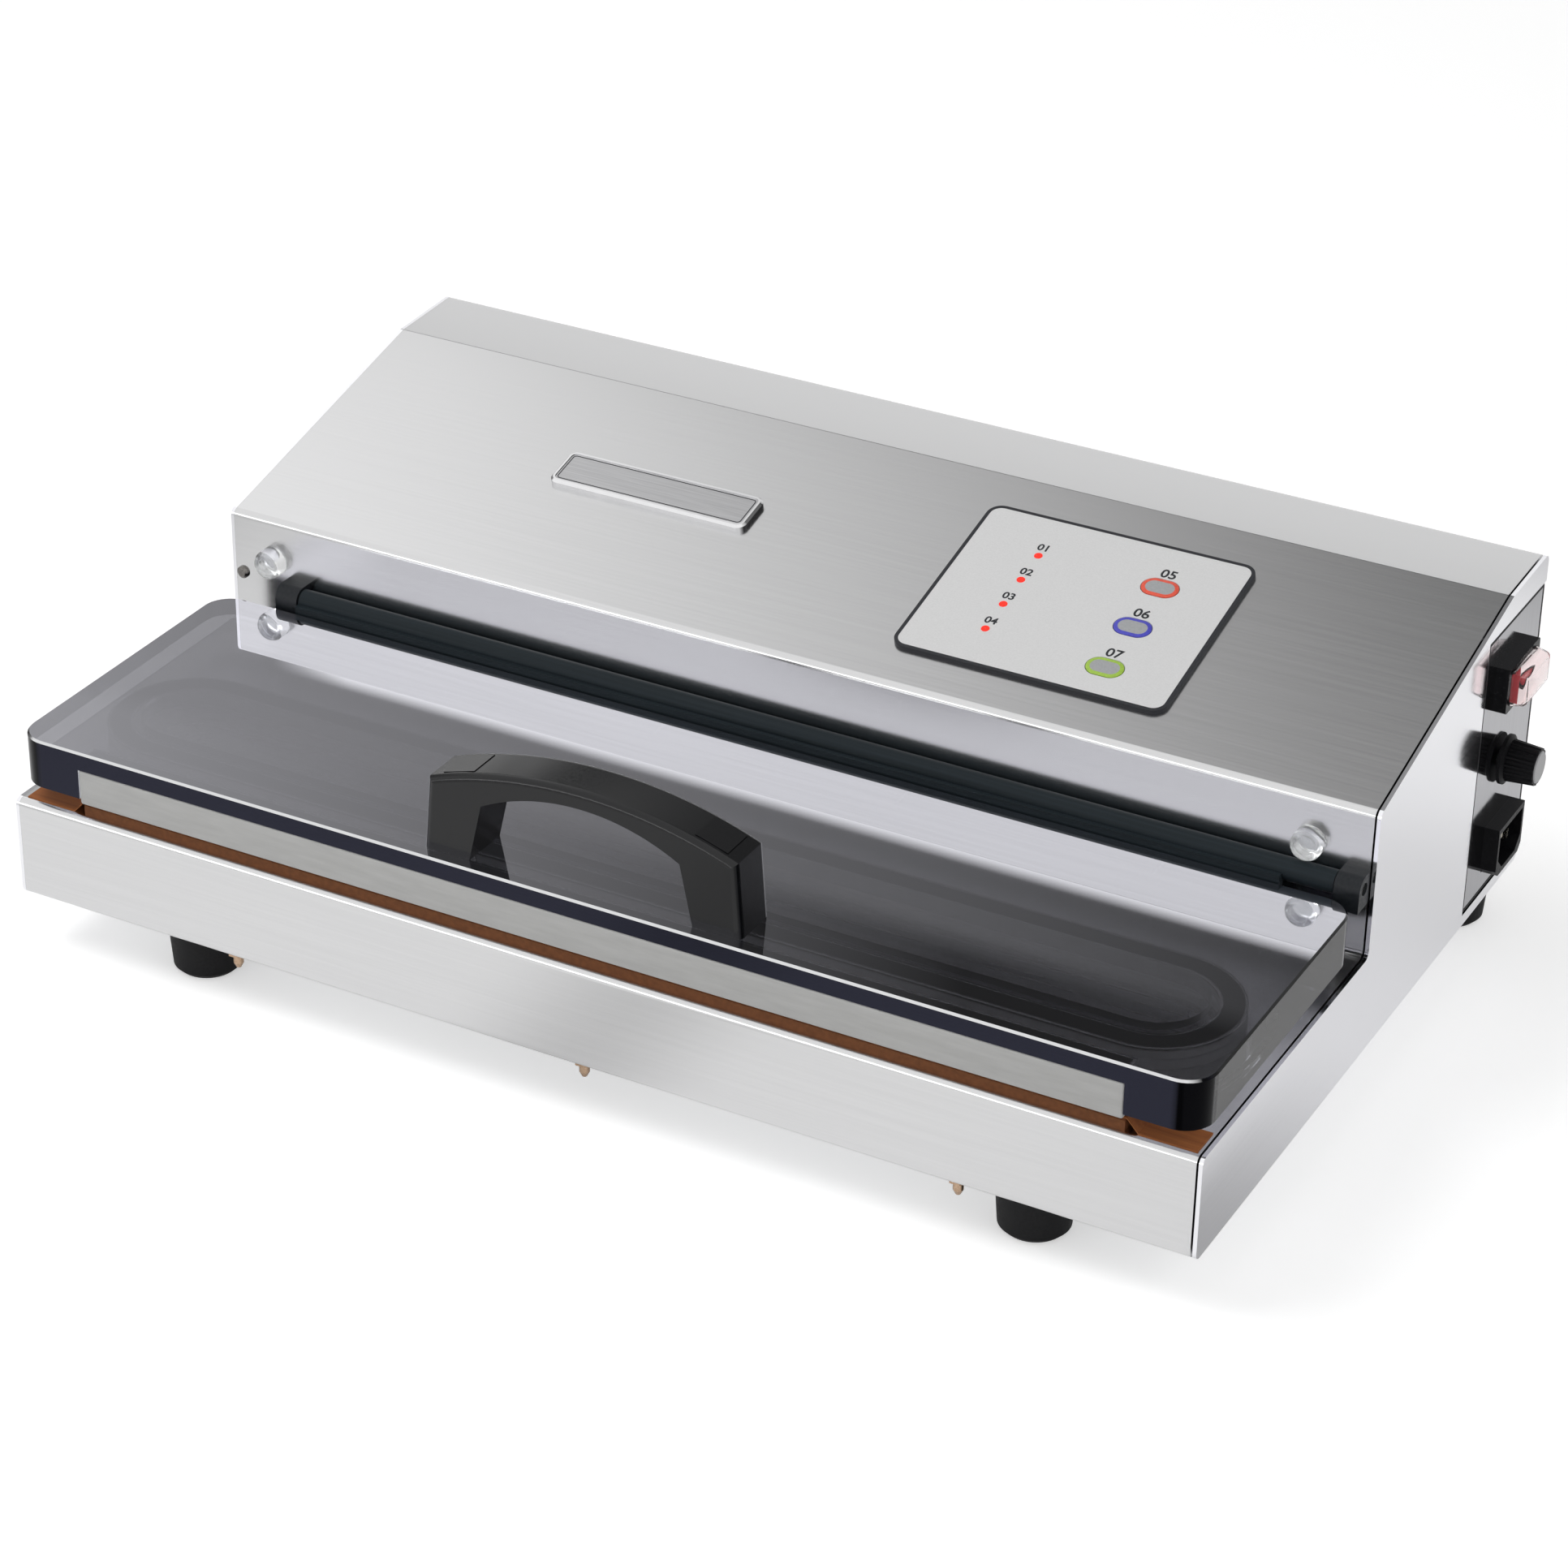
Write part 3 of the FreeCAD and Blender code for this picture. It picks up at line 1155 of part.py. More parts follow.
# Inner works: pump and motor, transformer, board, valve and hoses
def inner_works():
    pump = [block("pump_case", PUMP_X, "pump_y", FLOOR, "pump_length", "pump_width", "pump_height")]
    for k in (-0.5, 0.5):
        pump.append(rod("pump_head_%d" % (k + 2), PUMP_X + " + %g * pump_head_pitch" % k, "pump_y",
                        plus(FLOOR, "pump_height", "-weld_lap"), "pump_head_radius",
                        "pump_head_height + weld_lap"))
    fuse("vacuum_pump", pump)
    end = "(%s - pump_length / 2)" % PUMP_X
    level = plus(FLOOR, "motor_rise")
    can = rod("motor_can", end + " - motor_length", "pump_y", level, "motor_radius", "motor_length",
              (0, 1, 0), "90")
    cap = rod("motor_cap", end + " - motor_length - motor_cap", "pump_y", level, "motor_cap_radius",
              "motor_cap + weld_lap", (0, 1, 0), "90")
    cradle = block("motor_cradle", end + " - motor_length / 2", "pump_y", FLOOR, "cradle_length",
                   "cradle_width", "motor_rise - motor_radius + cradle_lap")
    fuse("pump_motor", [can, cap, cradle])
    core = block("core", CORE_X, "core_y", FLOOR, "core_length", "core_width", "core_height")
    hollow = block("core_hollow", CORE_X, "core_y", plus(FLOOR, "core_height / 2 - coil_height / 2"),
                   "core_window", "core_width + 2 * overcut", "coil_height")
    laminations = doc.addObject("Part::Cut", "transformer_core")
    laminations.Label = "transformer_core"
    laminations.Base, laminations.Tool = core, hollow
    keep(laminations)
    coil = block("coil", CORE_X, "core_y", plus(FLOOR, "core_height / 2 - coil_height / 2 + fit_gap"),
                 "core_window - 2 * fit_gap", "coil_length", "coil_height - 2 * fit_gap")
    winding = doc.addObject("Part::Fillet", "transformer_coil")
    winding.Label = "transformer_coil"
    winding.Base = coil
    doc.recompute()
    bend = number("coil_round")
    winding.Edges = [(k + 1, bend, bend) for k, edge in enumerate(coil.Shape.Edges) if runs(edge, "y")]
    keep(winding)
    board = new_body("control_board")
    low = "-sheet_gauge - board_gap - board_gauge"
    pad(board, "XY_Plane", low, low + " + board_gauge", rect(*board_edges("board_margin")))
    keep_on_slope(board)
    posts = []
    edges = board_edges("board_margin + post_inset")
    for k, (x, y) in enumerate([(x, y) for x in edges[:2] for y in edges[2:]]):
        posts.append(rod("post_%d" % (k + 1), x, y, low + " + board_gauge", "post_radius", "board_gap"))
    keep_on_slope(group("board_posts", posts))
    valve = block("valve_case", PORT_X, "valve_y + valve_length / 2", FLOOR, "valve_width",
                  "valve_length", "valve_height")
    coil = rod("valve_coil", PORT_X, "valve_y + valve_length / 2", plus(FLOOR, "valve_height", "-weld_lap"),
               "valve_coil_radius", "valve_coil_height + weld_lap")
    fuse("release_valve", [valve, coil])
    hose = new_body("vacuum_hose")
    start, level = less(DECK, "trough_depth", "hose_start"), plus(FLOOR, "hose_level")
    bend = less(start, level, "hose_straight")
    route = sketch(hose, "YZ_Plane", PORT_X, [bent_route("port_y", start, "valve_y", level, bend)])
    ring = sketch(hose, "XY_Plane", start, [circle(PORT_X, "port_y", "hose_radius"),
                                            circle(PORT_X, "port_y", "hose_bore")])
    tube = hose.newObject("PartDesign::AdditivePipe", "vacuum_hose_tube")
    tube.Profile = ring
    tube.Spine = route
    keep(hose)
    link = new_body("pump_hose")
    pad(link, "YZ_Plane", PUMP_X + " + pump_length / 2", PORT_X + " - valve_width / 2",
        circle("link_y", level, "hose_radius"), circle("link_y", level, "hose_bore"))
    keep(link)


def board_edges(margin):
    """Left, right, low and high edges drawn in from the overlay's outline."""
    return (plus("panel_left", margin), less("panel_left + panel_width", margin),
            plus("-panel_length / 2", margin), less("panel_length / 2", margin))


def bent_route(y0, z0, y1, z1, radius):
    """An open route down, round a quarter bend and back."""
    def draw(item):
        y, z, ye, ze, r = [number(text) for text in (y0, z0, y1, z1, radius)]
        item.addGeometry(Part.LineSegment(Vector(y, z, 0), Vector(y, ze + r, 0)), False)
        bend = Part.Circle(Vector(y + r, ze + r, 0), Vector(0, 0, 1), r)
        item.addGeometry(Part.ArcOfCircle(bend, math.pi, 1.5 * math.pi), False)
        item.addGeometry(Part.LineSegment(Vector(y + r, ze, 0), Vector(ye, ze, 0)), False)
        item.addConstraint(Sketcher.Constraint("Coincident", 0, 2, 1, 1))
        item.addConstraint(Sketcher.Constraint("Coincident", 1, 2, 2, 1))
        fix(item, 0, 1, y0, z0)
        fix(item, 0, 2, y0, plus(z1, radius))
        fix(item, 1, 2, plus(y0, radius), z1)
        size_of(item, "Radius", 1, radius)
        fix(item, 2, 2, y1, z1)
    return draw


main_cover()
side_panel("side_panel_left", -1)
side_panel("side_panel_right", 1)
base_plate()
feet()
lid_panel()
seal_pad()
gaskets()
vacuum_trough()
seal_line()
hinge()
face_fittings()
handle()
keypad()
badge()
control_plate()
power_switch()
time_knob()
inlet()
inner_works()
doc.recompute()

# Check every object, then write one file for each sub-part
for item in doc.Objects:
    if "Invalid" in item.State or "Error" in item.State:
        raise RuntimeError("%s is %s" % (item.Label, item.State))
for label, item in nodes.items():
    if item.Shape.isNull() or not item.Shape.isValid():
        raise RuntimeError("%s has no valid shape" % label)
    item.Shape.exportStep("parts/%s.step" % label)
    print(label, len(item.Shape.Solids), round(item.Shape.Volume))
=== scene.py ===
import json
import math

import bpy
from mathutils import Matrix, Vector


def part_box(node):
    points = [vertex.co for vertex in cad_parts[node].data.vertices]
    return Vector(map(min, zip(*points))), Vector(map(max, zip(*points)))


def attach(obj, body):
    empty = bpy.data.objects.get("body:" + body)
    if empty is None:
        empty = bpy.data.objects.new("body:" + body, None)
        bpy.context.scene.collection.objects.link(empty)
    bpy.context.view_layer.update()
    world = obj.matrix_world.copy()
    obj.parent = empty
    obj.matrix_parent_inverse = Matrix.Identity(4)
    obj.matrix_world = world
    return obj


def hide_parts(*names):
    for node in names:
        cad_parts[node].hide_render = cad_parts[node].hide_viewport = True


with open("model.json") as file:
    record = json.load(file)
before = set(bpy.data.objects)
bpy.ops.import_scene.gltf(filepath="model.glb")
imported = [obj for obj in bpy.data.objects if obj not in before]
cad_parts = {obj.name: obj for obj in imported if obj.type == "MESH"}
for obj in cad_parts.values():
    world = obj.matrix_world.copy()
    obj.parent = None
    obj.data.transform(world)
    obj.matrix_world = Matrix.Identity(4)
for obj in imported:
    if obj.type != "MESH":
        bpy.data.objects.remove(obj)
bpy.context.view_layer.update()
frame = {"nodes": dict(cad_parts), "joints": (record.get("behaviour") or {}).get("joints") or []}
nodes = frame["nodes"]


# Housing cover: one stainless sheet folded into front, deck, upright face, sloped panel,
# roof and back. It is ground lengthwise on a belt, so its fine lines run from end to end.

def new_finish(name, colour, roughness, extra=None):
    """A material with one principled shader; extra gives the shader's other constant values."""
    finish = bpy.data.materials.new(name)
    finish.use_nodes = True
    shader = finish.node_tree.nodes["Principled BSDF"]
    shader.inputs["Base Color"].default_value = (*colour, 1.0)
    shader.inputs["Roughness"].default_value = roughness
    for socket, value in (extra or {}).items():
        shader.inputs[socket].default_value = value
    return finish


grain_low, grain_high = 0.3, 0.7


def add_grain(finish, per_metre, colours, roughness, height, detail=3.0):
    """Breaks a finish up with noise that changes so many times per metre along X, Y and Z."""
    tree = finish.node_tree
    shader = tree.nodes["Principled BSDF"]
    place = tree.nodes.new("ShaderNodeTexCoord")
    spread = tree.nodes.new("ShaderNodeMapping")
    spread.inputs["Scale"].default_value = per_metre
    noise = tree.nodes.new("ShaderNodeTexNoise")
    noise.inputs["Scale"].default_value = 1.0
    noise.inputs["Detail"].default_value = detail
    tint = tree.nodes.new("ShaderNodeValToRGB")
    for stop, position, colour in zip(tint.color_ramp.elements, (grain_low, grain_high), colours):
        stop.position = position
        stop.color = (*colour, 1.0)
    gloss = tree.nodes.new("ShaderNodeMapRange")
    gloss.inputs["From Min"].default_value = grain_low
    gloss.inputs["From Max"].default_value = grain_high
    gloss.inputs["To Min"].default_value = roughness[0]
    gloss.inputs["To Max"].default_value = roughness[1]
    bump = tree.nodes.new("ShaderNodeBump")
    bump.inputs["Distance"].default_value = height
    tree.links.new(place.outputs["Object"], spread.inputs["Vector"])
    tree.links.new(spread.outputs["Vector"], noise.inputs["Vector"])
    tree.links.new(noise.outputs["Fac"], tint.inputs["Fac"])
    tree.links.new(noise.outputs["Fac"], gloss.inputs["Value"])
    tree.links.new(noise.outputs["Fac"], bump.inputs["Height"])
    tree.links.new(tint.outputs["Color"], shader.inputs["Base Color"])
    tree.links.new(gloss.outputs["Result"], shader.inputs["Roughness"])
    tree.links.new(bump.outputs["Normal"], shader.inputs["Normal"])


def dress(finish, *names):
    """Gives the finish to solids that keep their shape."""
    for name in names:
        for slot in nodes[name].material_slots:
            slot.material = finish


cover_steel = new_finish("ground_steel", (0.70, 0.70, 0.705), 0.22, {"Metallic": 1.0})
add_grain(cover_steel, (12, 900, 900), ((0.685, 0.685, 0.69), (0.715, 0.715, 0.72)), (0.20, 0.24), 4e-7)
dress(cover_steel, "main_cover")


# Side panels: stainless sheet closing both ends of the housing, welded along the folds.
# They are polished further than the cover, so the controls mirror in the right one.
panel_steel = new_finish("polished_steel", (0.91, 0.91, 0.94), 0.10, {"Metallic": 1.0})
add_grain(panel_steel, (700, 14, 700), ((0.90, 0.90, 0.93), (0.92, 0.92, 0.95)), (0.08, 0.12), 3e-7)
dress(panel_steel, "side_panel_left", "side_panel_right")


# Control plate: a bright stainless plate let into the rear of the right side panel.
# It carries the switch, the knob and the mains inlet, and a thin black strip runs round it as painted shade
# in its seam.
plate_steel = new_finish("bright_steel", (0.38, 0.38, 0.40), 0.09, {"Metallic": 1.0})
add_grain(plate_steel, (700, 700, 20), ((0.36, 0.36, 0.38), (0.40, 0.40, 0.42)), (0.07, 0.12), 3e-7)
dress(plate_steel, "control_plate")


def settle(piece, name, body, finish):
    """Names a finished piece, fixes its place in its mesh, and gives it its body and finish."""
    bpy.ops.object.mode_set(mode="OBJECT")
    bpy.ops.object.transform_apply(location=True, rotation=True, scale=True)
    piece.name = name
    if not piece.data.materials:
        piece.data.materials.append(finish)
    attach(piece, body)


corner_steps = 8


def flat_frame(width, length, corner, line, depth):
    """A flat ring with rounded corners round the origin, so wide, long and deep."""
    bpy.ops.object.select_all(action="DESELECT")
    bpy.ops.mesh.primitive_plane_add(size=1.0)
    ring = bpy.context.object
    ring.scale = (width, length, 1)
    bpy.ops.object.transform_apply(location=False, rotation=False, scale=True)
    bpy.ops.object.mode_set(mode="EDIT")
    bpy.ops.mesh.select_all(action="SELECT")
    bpy.ops.mesh.bevel(offset=corner, segments=corner_steps, affect="VERTICES")
    bpy.ops.mesh.inset(thickness=line)
    bpy.ops.mesh.delete(type="FACE")
    bpy.ops.mesh.select_all(action="SELECT")
    bpy.ops.mesh.extrude_region_move(TRANSFORM_OT_translate={"value": (0, 0, depth)})
    bpy.ops.mesh.select_all(action="SELECT")
    bpy.ops.mesh.normals_make_consistent(inside=False)
    bpy.ops.object.mode_set(mode="OBJECT")
    return ring


# Painted shade: a thin black strip laid on the plate's seam, where the gap shows dark.
seam_shade_black = new_finish("seam_shade_black", (0.020, 0.020, 0.022), 0.60, {"Specular IOR Level": 0.2})
seam_shade_tones = ((0.015, 0.015, 0.017), (0.027, 0.027, 0.029))
add_grain(seam_shade_black, (1200, 1200, 1200), seam_shade_tones, (0.52, 0.68), 6e-6)
plate_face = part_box("control_plate")[1].x
plate_corners = nodes["control_plate"].data.vertices
plate_points = [point.co for point in plate_corners if point.co.x > plate_face - 1e-5]
plate_back = max(point.y for point in plate_points)
plate_front = min(point.y for point in plate_points)
plate_top = max(point.z for point in plate_points)
plate_foot = min(point.z for point in plate_points)
seam_shade_width = 0.0011
seam_shade_proud = 0.0001
seal = flat_frame(plate_top - plate_foot, plate_back - plate_front, seam_shade_width, seam_shade_width, seam_shade_proud)
seal.rotation_euler = (0, math.radians(90), 0)
seal.location = (plate_face, (plate_front + plate_back) / 2, (plate_foot + plate_top) / 2)
settle(seal, "plate_seam_shade", "housing", seam_shade_black)


# Base plate, with vent slots and the inner works' mounts: galvanised sheet, whose zinc
# sets in pale flakes a few millimetres across.
zinc_sheet = new_finish("galvanised_sheet", (0.55, 0.56, 0.57), 0.42, {"Metallic": 1.0})
add_grain(zinc_sheet, (160, 160, 160), ((0.46, 0.47, 0.49), (0.64, 0.65, 0.66)), (0.34, 0.50), 4e-6, 0.0)
dress(zinc_sheet, "base_plate")


# Feet: four tapered rubber mouldings, each held by a screw up its middle. The moulded
# rubber is dull and a little dusty.
foot_rubber = new_finish("foot_rubber", (0.012, 0.012, 0.013), 0.62, {"Specular IOR Level": 0.15})
add_grain(foot_rubber, (900, 900, 900), ((0.009, 0.009, 0.010), (0.017, 0.017, 0.018)), (0.52, 0.72), 2e-5)
dress(foot_rubber, "feet")


# Fasteners: plated steel screws, turned and rolled, with a soft even shine. The studs of the
# seal bar and their nuts are brass, and the screw on the upright face is painted dark, as painted shade for
# the dark its shiny dome mirrors.
screw_steel = new_finish("plated_screws", (0.62, 0.61, 0.58), 0.26, {"Metallic": 1.0})
add_grain(screw_steel, (1500, 1500, 1500), ((0.56, 0.55, 0.52), (0.68, 0.67, 0.64)), (0.20, 0.34), 3e-6)
dress(screw_steel, "foot_screws", "hinge_bar_screws", "handle_screws", "hinge_shaft", "knob_spindle")
stud_brass = new_finish("stud_brass", (0.50, 0.35, 0.24), 0.28, {"Metallic": 1.0})
add_grain(stud_brass, (1500, 1500, 1500), ((0.44, 0.30, 0.20), (0.56, 0.40, 0.28)), (0.22, 0.36), 3e-6)
dress(stud_brass, "seal_bar_studs", "stud_nuts")
# Painted shade: a darker copy of the screw steel for the screw on the upright face.
screw_painted_dark = new_finish("screw_painted_dark", (0.20, 0.19, 0.18), 0.24, {"Metallic": 1.0})
add_grain(screw_painted_dark, (1500, 1500, 1500), ((0.17, 0.16, 0.15), (0.24, 0.23, 0.22)), (0.18, 0.30), 3e-6)
dress(screw_painted_dark, "face_screw")


# Pump and motor: a cast alloy pump head with a painted motor behind it, bolted to the
# base plate inside the housing.
pump_alloy = new_finish("cast_alloy", (0.48, 0.49, 0.50), 0.46, {"Metallic": 1.0})
add_grain(pump_alloy, (420, 420, 420), ((0.42, 0.43, 0.44), (0.55, 0.56, 0.57)), (0.38, 0.56), 2e-5)
motor_paint = new_finish("motor_paint", (0.05, 0.055, 0.06), 0.40)
add_grain(motor_paint, (600, 600, 600), ((0.042, 0.046, 0.05), (0.062, 0.067, 0.072)), (0.32, 0.48), 8e-6)
dress(pump_alloy, "vacuum_pump", "release_valve", "vacuum_port")
dress(motor_paint, "pump_motor", "potentiometer")


# Transformer: a stack of lacquered iron sheets on edge, with a wound coil round its middle leg.
# The coil is wrapped in yellow tape, and the stack stands on the base plate.
core_iron = new_finish("core_iron", (0.17, 0.16, 0.15), 0.50, {"Metallic": 0.8})
add_grain(core_iron, (20, 20, 1400), ((0.12, 0.115, 0.11), (0.24, 0.23, 0.21)), (0.42, 0.58), 2e-5, 1.0)
coil_tape = new_finish("coil_tape", (0.46, 0.30, 0.07), 0.34)
add_grain(coil_tape, (60, 300, 300), ((0.40, 0.25, 0.05), (0.53, 0.36, 0.10)), (0.28, 0.42), 1e-5)
dress(core_iron, "transformer_core")
dress(coil_tape, "transformer_coil")


# Control board: a sheet of glass-fibre laminate under a green lacquer. It stands clear of the
# base plate on moulded plastic posts.
board_lacquer = new_finish("board_lacquer", (0.02, 0.17, 0.07), 0.30)
add_grain(board_lacquer, (900, 900, 900), ((0.016, 0.14, 0.058), (0.026, 0.20, 0.085)), (0.24, 0.38), 4e-6)
post_plastic = new_finish("post_plastic", (0.72, 0.71, 0.66), 0.44)
add_grain(post_plastic, (500, 500, 500), ((0.68, 0.67, 0.62), (0.76, 0.75, 0.70)), (0.38, 0.52), 4e-6)
dress(board_lacquer, "control_board")
dress(post_plastic, "board_posts")


# Hoses: milky silicone tube between the trough, the release valve and the pump, cut to length
# and bent to its run.
hose_silicone = new_finish("hose_silicone", (0.74, 0.75, 0.74), 0.36, {"Transmission Weight": 0.25})
add_grain(hose_silicone, (300, 300, 300), ((0.70, 0.71, 0.70), (0.78, 0.79, 0.78)), (0.30, 0.44), 4e-6)
dress(hose_silicone, "vacuum_hose", "pump_hose")


# Vacuum trough: a drawn stainless channel sunk in the deck, where the bag's mouth lies. The air
# leaves through a port in its floor.
trough_steel = new_finish("drawn_steel", (0.34, 0.34, 0.36), 0.30, {"Metallic": 1.0})
add_grain(trough_steel, (10, 600, 600), ((0.30, 0.30, 0.32), (0.39, 0.39, 0.41)), (0.24, 0.38), 3e-6)
dress(trough_steel, "vacuum_trough")


# Gaskets: closed-cell foam rings cut from sheet, one round the trough and one pressed into
# the lid's groove above it. Their skin is matt, with fine open pores.
gasket_foam = new_finish("gasket_foam", (0.18, 0.18, 0.185), 0.82, {"Specular IOR Level": 0.2})
foam_shades = ((0.155, 0.155, 0.160), (0.205, 0.205, 0.210))
add_grain(gasket_foam, (1600, 1600, 1600), foam_shades, (0.74, 0.90), 6e-5)
gasket_band = 0.010
gasket_edge = 0.0011
gasket_points = 96
edge_steps = 4
sharp_angle = math.radians(50)
smooth_angle = math.radians(40)


def select_where(test, kind="FACE"):
    """In edit mode, selects just the faces or points of the active mesh whose middle passes the test."""
    bpy.ops.mesh.select_mode(type=kind)
    bpy.ops.mesh.select_all(action="DESELECT")
    bpy.ops.object.mode_set(mode="OBJECT")
    mesh = bpy.context.object.data
    if kind == "FACE":
        for face in mesh.polygons:
            face.select = test(face.center)
    else:
        for point in mesh.vertices:
            point.select = test(point.co)
    bpy.ops.object.mode_set(mode="EDIT")


def round_edges(width):
    """In edit mode, rounds every sharp edge of the active mesh."""
    bpy.ops.mesh.select_mode(type="EDGE")
    bpy.ops.mesh.select_all(action="DESELECT")
    bpy.ops.mesh.edges_select_sharp(sharpness=sharp_angle)
    bpy.ops.mesh.bevel(offset=width, segments=edge_steps, affect="EDGES")
    bpy.ops.mesh.select_all(action="SELECT")
    bpy.ops.mesh.normals_make_consistent(inside=False)
    bpy.ops.object.mode_set(mode="OBJECT")
    bpy.ops.object.shade_smooth_by_angle(angle=smooth_angle)


def soft_block(low, high, edge):
    """A block that fills a box, with rounded edges."""
    bpy.ops.object.select_all(action="DESELECT")
    bpy.ops.mesh.primitive_cube_add(size=1.0)
    block = bpy.context.object
    block.scale = high - low
    block.location = (low + high) / 2
    bpy.ops.object.transform_apply(location=True, rotation=False, scale=True)
    bpy.ops.object.mode_set(mode="EDIT")
    round_edges(edge)
    return block


ring_low, ring_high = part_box("upper_gasket")
ring_radius = (ring_high.y - ring_low.y) / 2
ring_stretch = (ring_high.x - ring_low.x) / 2 - ring_radius
for layer, body in (("lower", "housing"), ("upper", "lid")):
    low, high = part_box(layer + "_gasket")
    bpy.ops.object.select_all(action="DESELECT")
    bpy.ops.mesh.primitive_circle_add(vertices=gasket_points, radius=ring_radius, fill_type="NGON")
    ring = bpy.context.object
    bpy.ops.object.mode_set(mode="EDIT")
    for side in (-1, 1):
        select_where(lambda point: point.x * side > 1e-6, "VERT")
        bpy.ops.transform.translate(value=(side * ring_stretch, 0, 0))
    bpy.ops.mesh.select_mode(type="FACE")
    bpy.ops.mesh.select_all(action="SELECT")
    bpy.ops.mesh.inset(thickness=gasket_band)
    bpy.ops.mesh.delete(type="FACE")
    bpy.ops.mesh.select_all(action="SELECT")
    bpy.ops.mesh.extrude_region_move(TRANSFORM_OT_translate={"value": (0, 0, high.z - low.z)})
    bpy.ops.mesh.select_all(action="SELECT")
    bpy.ops.mesh.normals_make_consistent(inside=False)
    round_edges(gasket_edge)
    ring.location = ((ring_low.x + ring_high.x) / 2, (ring_low.y + ring_high.y) / 2, low.z)
    settle(ring, layer + "_foam", body, gasket_foam)
    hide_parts(layer + "_gasket")

tab_width, tab_lap, tab_gauge, tab_edge = 0.014, 0.003, 0.002, 0.0006
tab_clear = 0.001
tab_low, tab_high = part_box("lower_gasket")
tab_corners = nodes["lower_gasket"].data.vertices
tab_points = [point.co for point in tab_corners if point.co.y > ring_high.y + tab_clear]
tab_middle = (min(point.x for point in tab_points) + max(point.x for point in tab_points)) / 2
tab = soft_block(
    Vector((tab_middle - tab_width / 2, ring_high.y - tab_lap, tab_low.z)),
    Vector((tab_middle + tab_width / 2, tab_high.y, tab_low.z + tab_gauge)), tab_edge)
settle(tab, "foam_tab", "housing", gasket_foam)
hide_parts("lower_gasket")


# Seal bar: a moulded insulator on three studs with the heating ribbon stretched along it,
# under a brown glass cloth soaked in non-stick resin, which shows its weave.
bar_resin = new_finish("bar_resin", (0.20, 0.075, 0.030), 0.60, {"Specular IOR Level": 0.15})
add_grain(bar_resin, (500, 500, 500), ((0.17, 0.062, 0.024), (0.23, 0.088, 0.036)), (0.52, 0.68), 8e-6)
ribbon_alloy = new_finish("ribbon_alloy", (0.60, 0.57, 0.52), 0.30, {"Metallic": 1.0})
add_grain(ribbon_alloy, (20, 900, 900), ((0.54, 0.51, 0.46), (0.66, 0.63, 0.58)), (0.24, 0.38), 2e-6)
tape_cloth = new_finish("tape_cloth", (0.36, 0.125, 0.040), 0.60, {"Specular IOR Level": 0.15})
add_grain(tape_cloth, (30, 420, 420), ((0.29, 0.098, 0.031), (0.43, 0.152, 0.049)), (0.52, 0.68), 1.5e-5)
dress(bar_resin, "seal_bar")
dress(ribbon_alloy, "heating_ribbon")
dress(tape_cloth, "seal_tape")


# Lid: a thick slab of smoke-tinted clear acrylic, polished all over and grooved beneath. Its top
# is clear from above and mirrors more at a slant. Its walls are painted dark and its corners black,
# as painted shade for the light trapped inside, its ends a lighter painted grey, and a thin painted
# highlight runs along its top front edge.

def tone_math(tree, operation, first, second=0.0):
    """One step of arithmetic in a material, on sockets or plain numbers."""
    step = tree.nodes.new("ShaderNodeMath")
    step.operation = operation
    for socket, value in zip(step.inputs, (first, second)):
        if isinstance(value, float):
            socket.default_value = value
        else:
            tree.links.new(value, socket)
    return step.outputs[0]


def tone_ramp(tree, value, start, end, first=0.0, last=1.0, smooth=False):
    """A change from one number to another while a value goes from start to end."""
    ramp = tree.nodes.new("ShaderNodeMapRange")
    if smooth:
        ramp.interpolation_type = "SMOOTHSTEP"
    for socket, number in (("From Min", start), ("From Max", end), ("To Min", first), ("To Max", last)):
        ramp.inputs[socket].default_value = number
    tree.links.new(value, ramp.inputs["Value"])
    return ramp.outputs["Result"]


def tone_stops(tree, value, stops):
    """A run of colours along a value, from pairs of place and colour."""
    run = tree.nodes.new("ShaderNodeValToRGB")
    for place, colour in stops[1:-1]:
        run.color_ramp.elements.new(place)
    for stop, (place, colour) in zip(run.color_ramp.elements, stops):
        stop.position = place
        stop.color = (*colour, 1.0)
    tree.links.new(value, run.inputs["Fac"])
    return run.outputs["Color"]


def tone_mix(tree, share, first, second):
    """Two tones, or two colours where the second is one, mixed by a share."""
    mix = tree.nodes.new("ShaderNodeMix")
    if isinstance(second, tuple):
        mix.data_type = "RGBA"
    tree.links.new(share, mix.inputs["Factor"])
    for value, socket in ((first, mix.inputs["A"]), (second, mix.inputs["B"])):
        if isinstance(value, float):
            socket.default_value = value
        elif isinstance(value, tuple):
            socket.default_value = (*value, 1.0)
        else:
            tree.links.new(value, socket)
    return mix.outputs["Result"]


def tone_axes(tree, kind):
    """The X, Y and Z of a place or a facing, as sockets."""
    source = tree.nodes.new("ShaderNodeTexCoord")
    axes = tree.nodes.new("ShaderNodeSeparateXYZ")
    tree.links.new(source.outputs[kind], axes.inputs[0])
    return axes.outputs


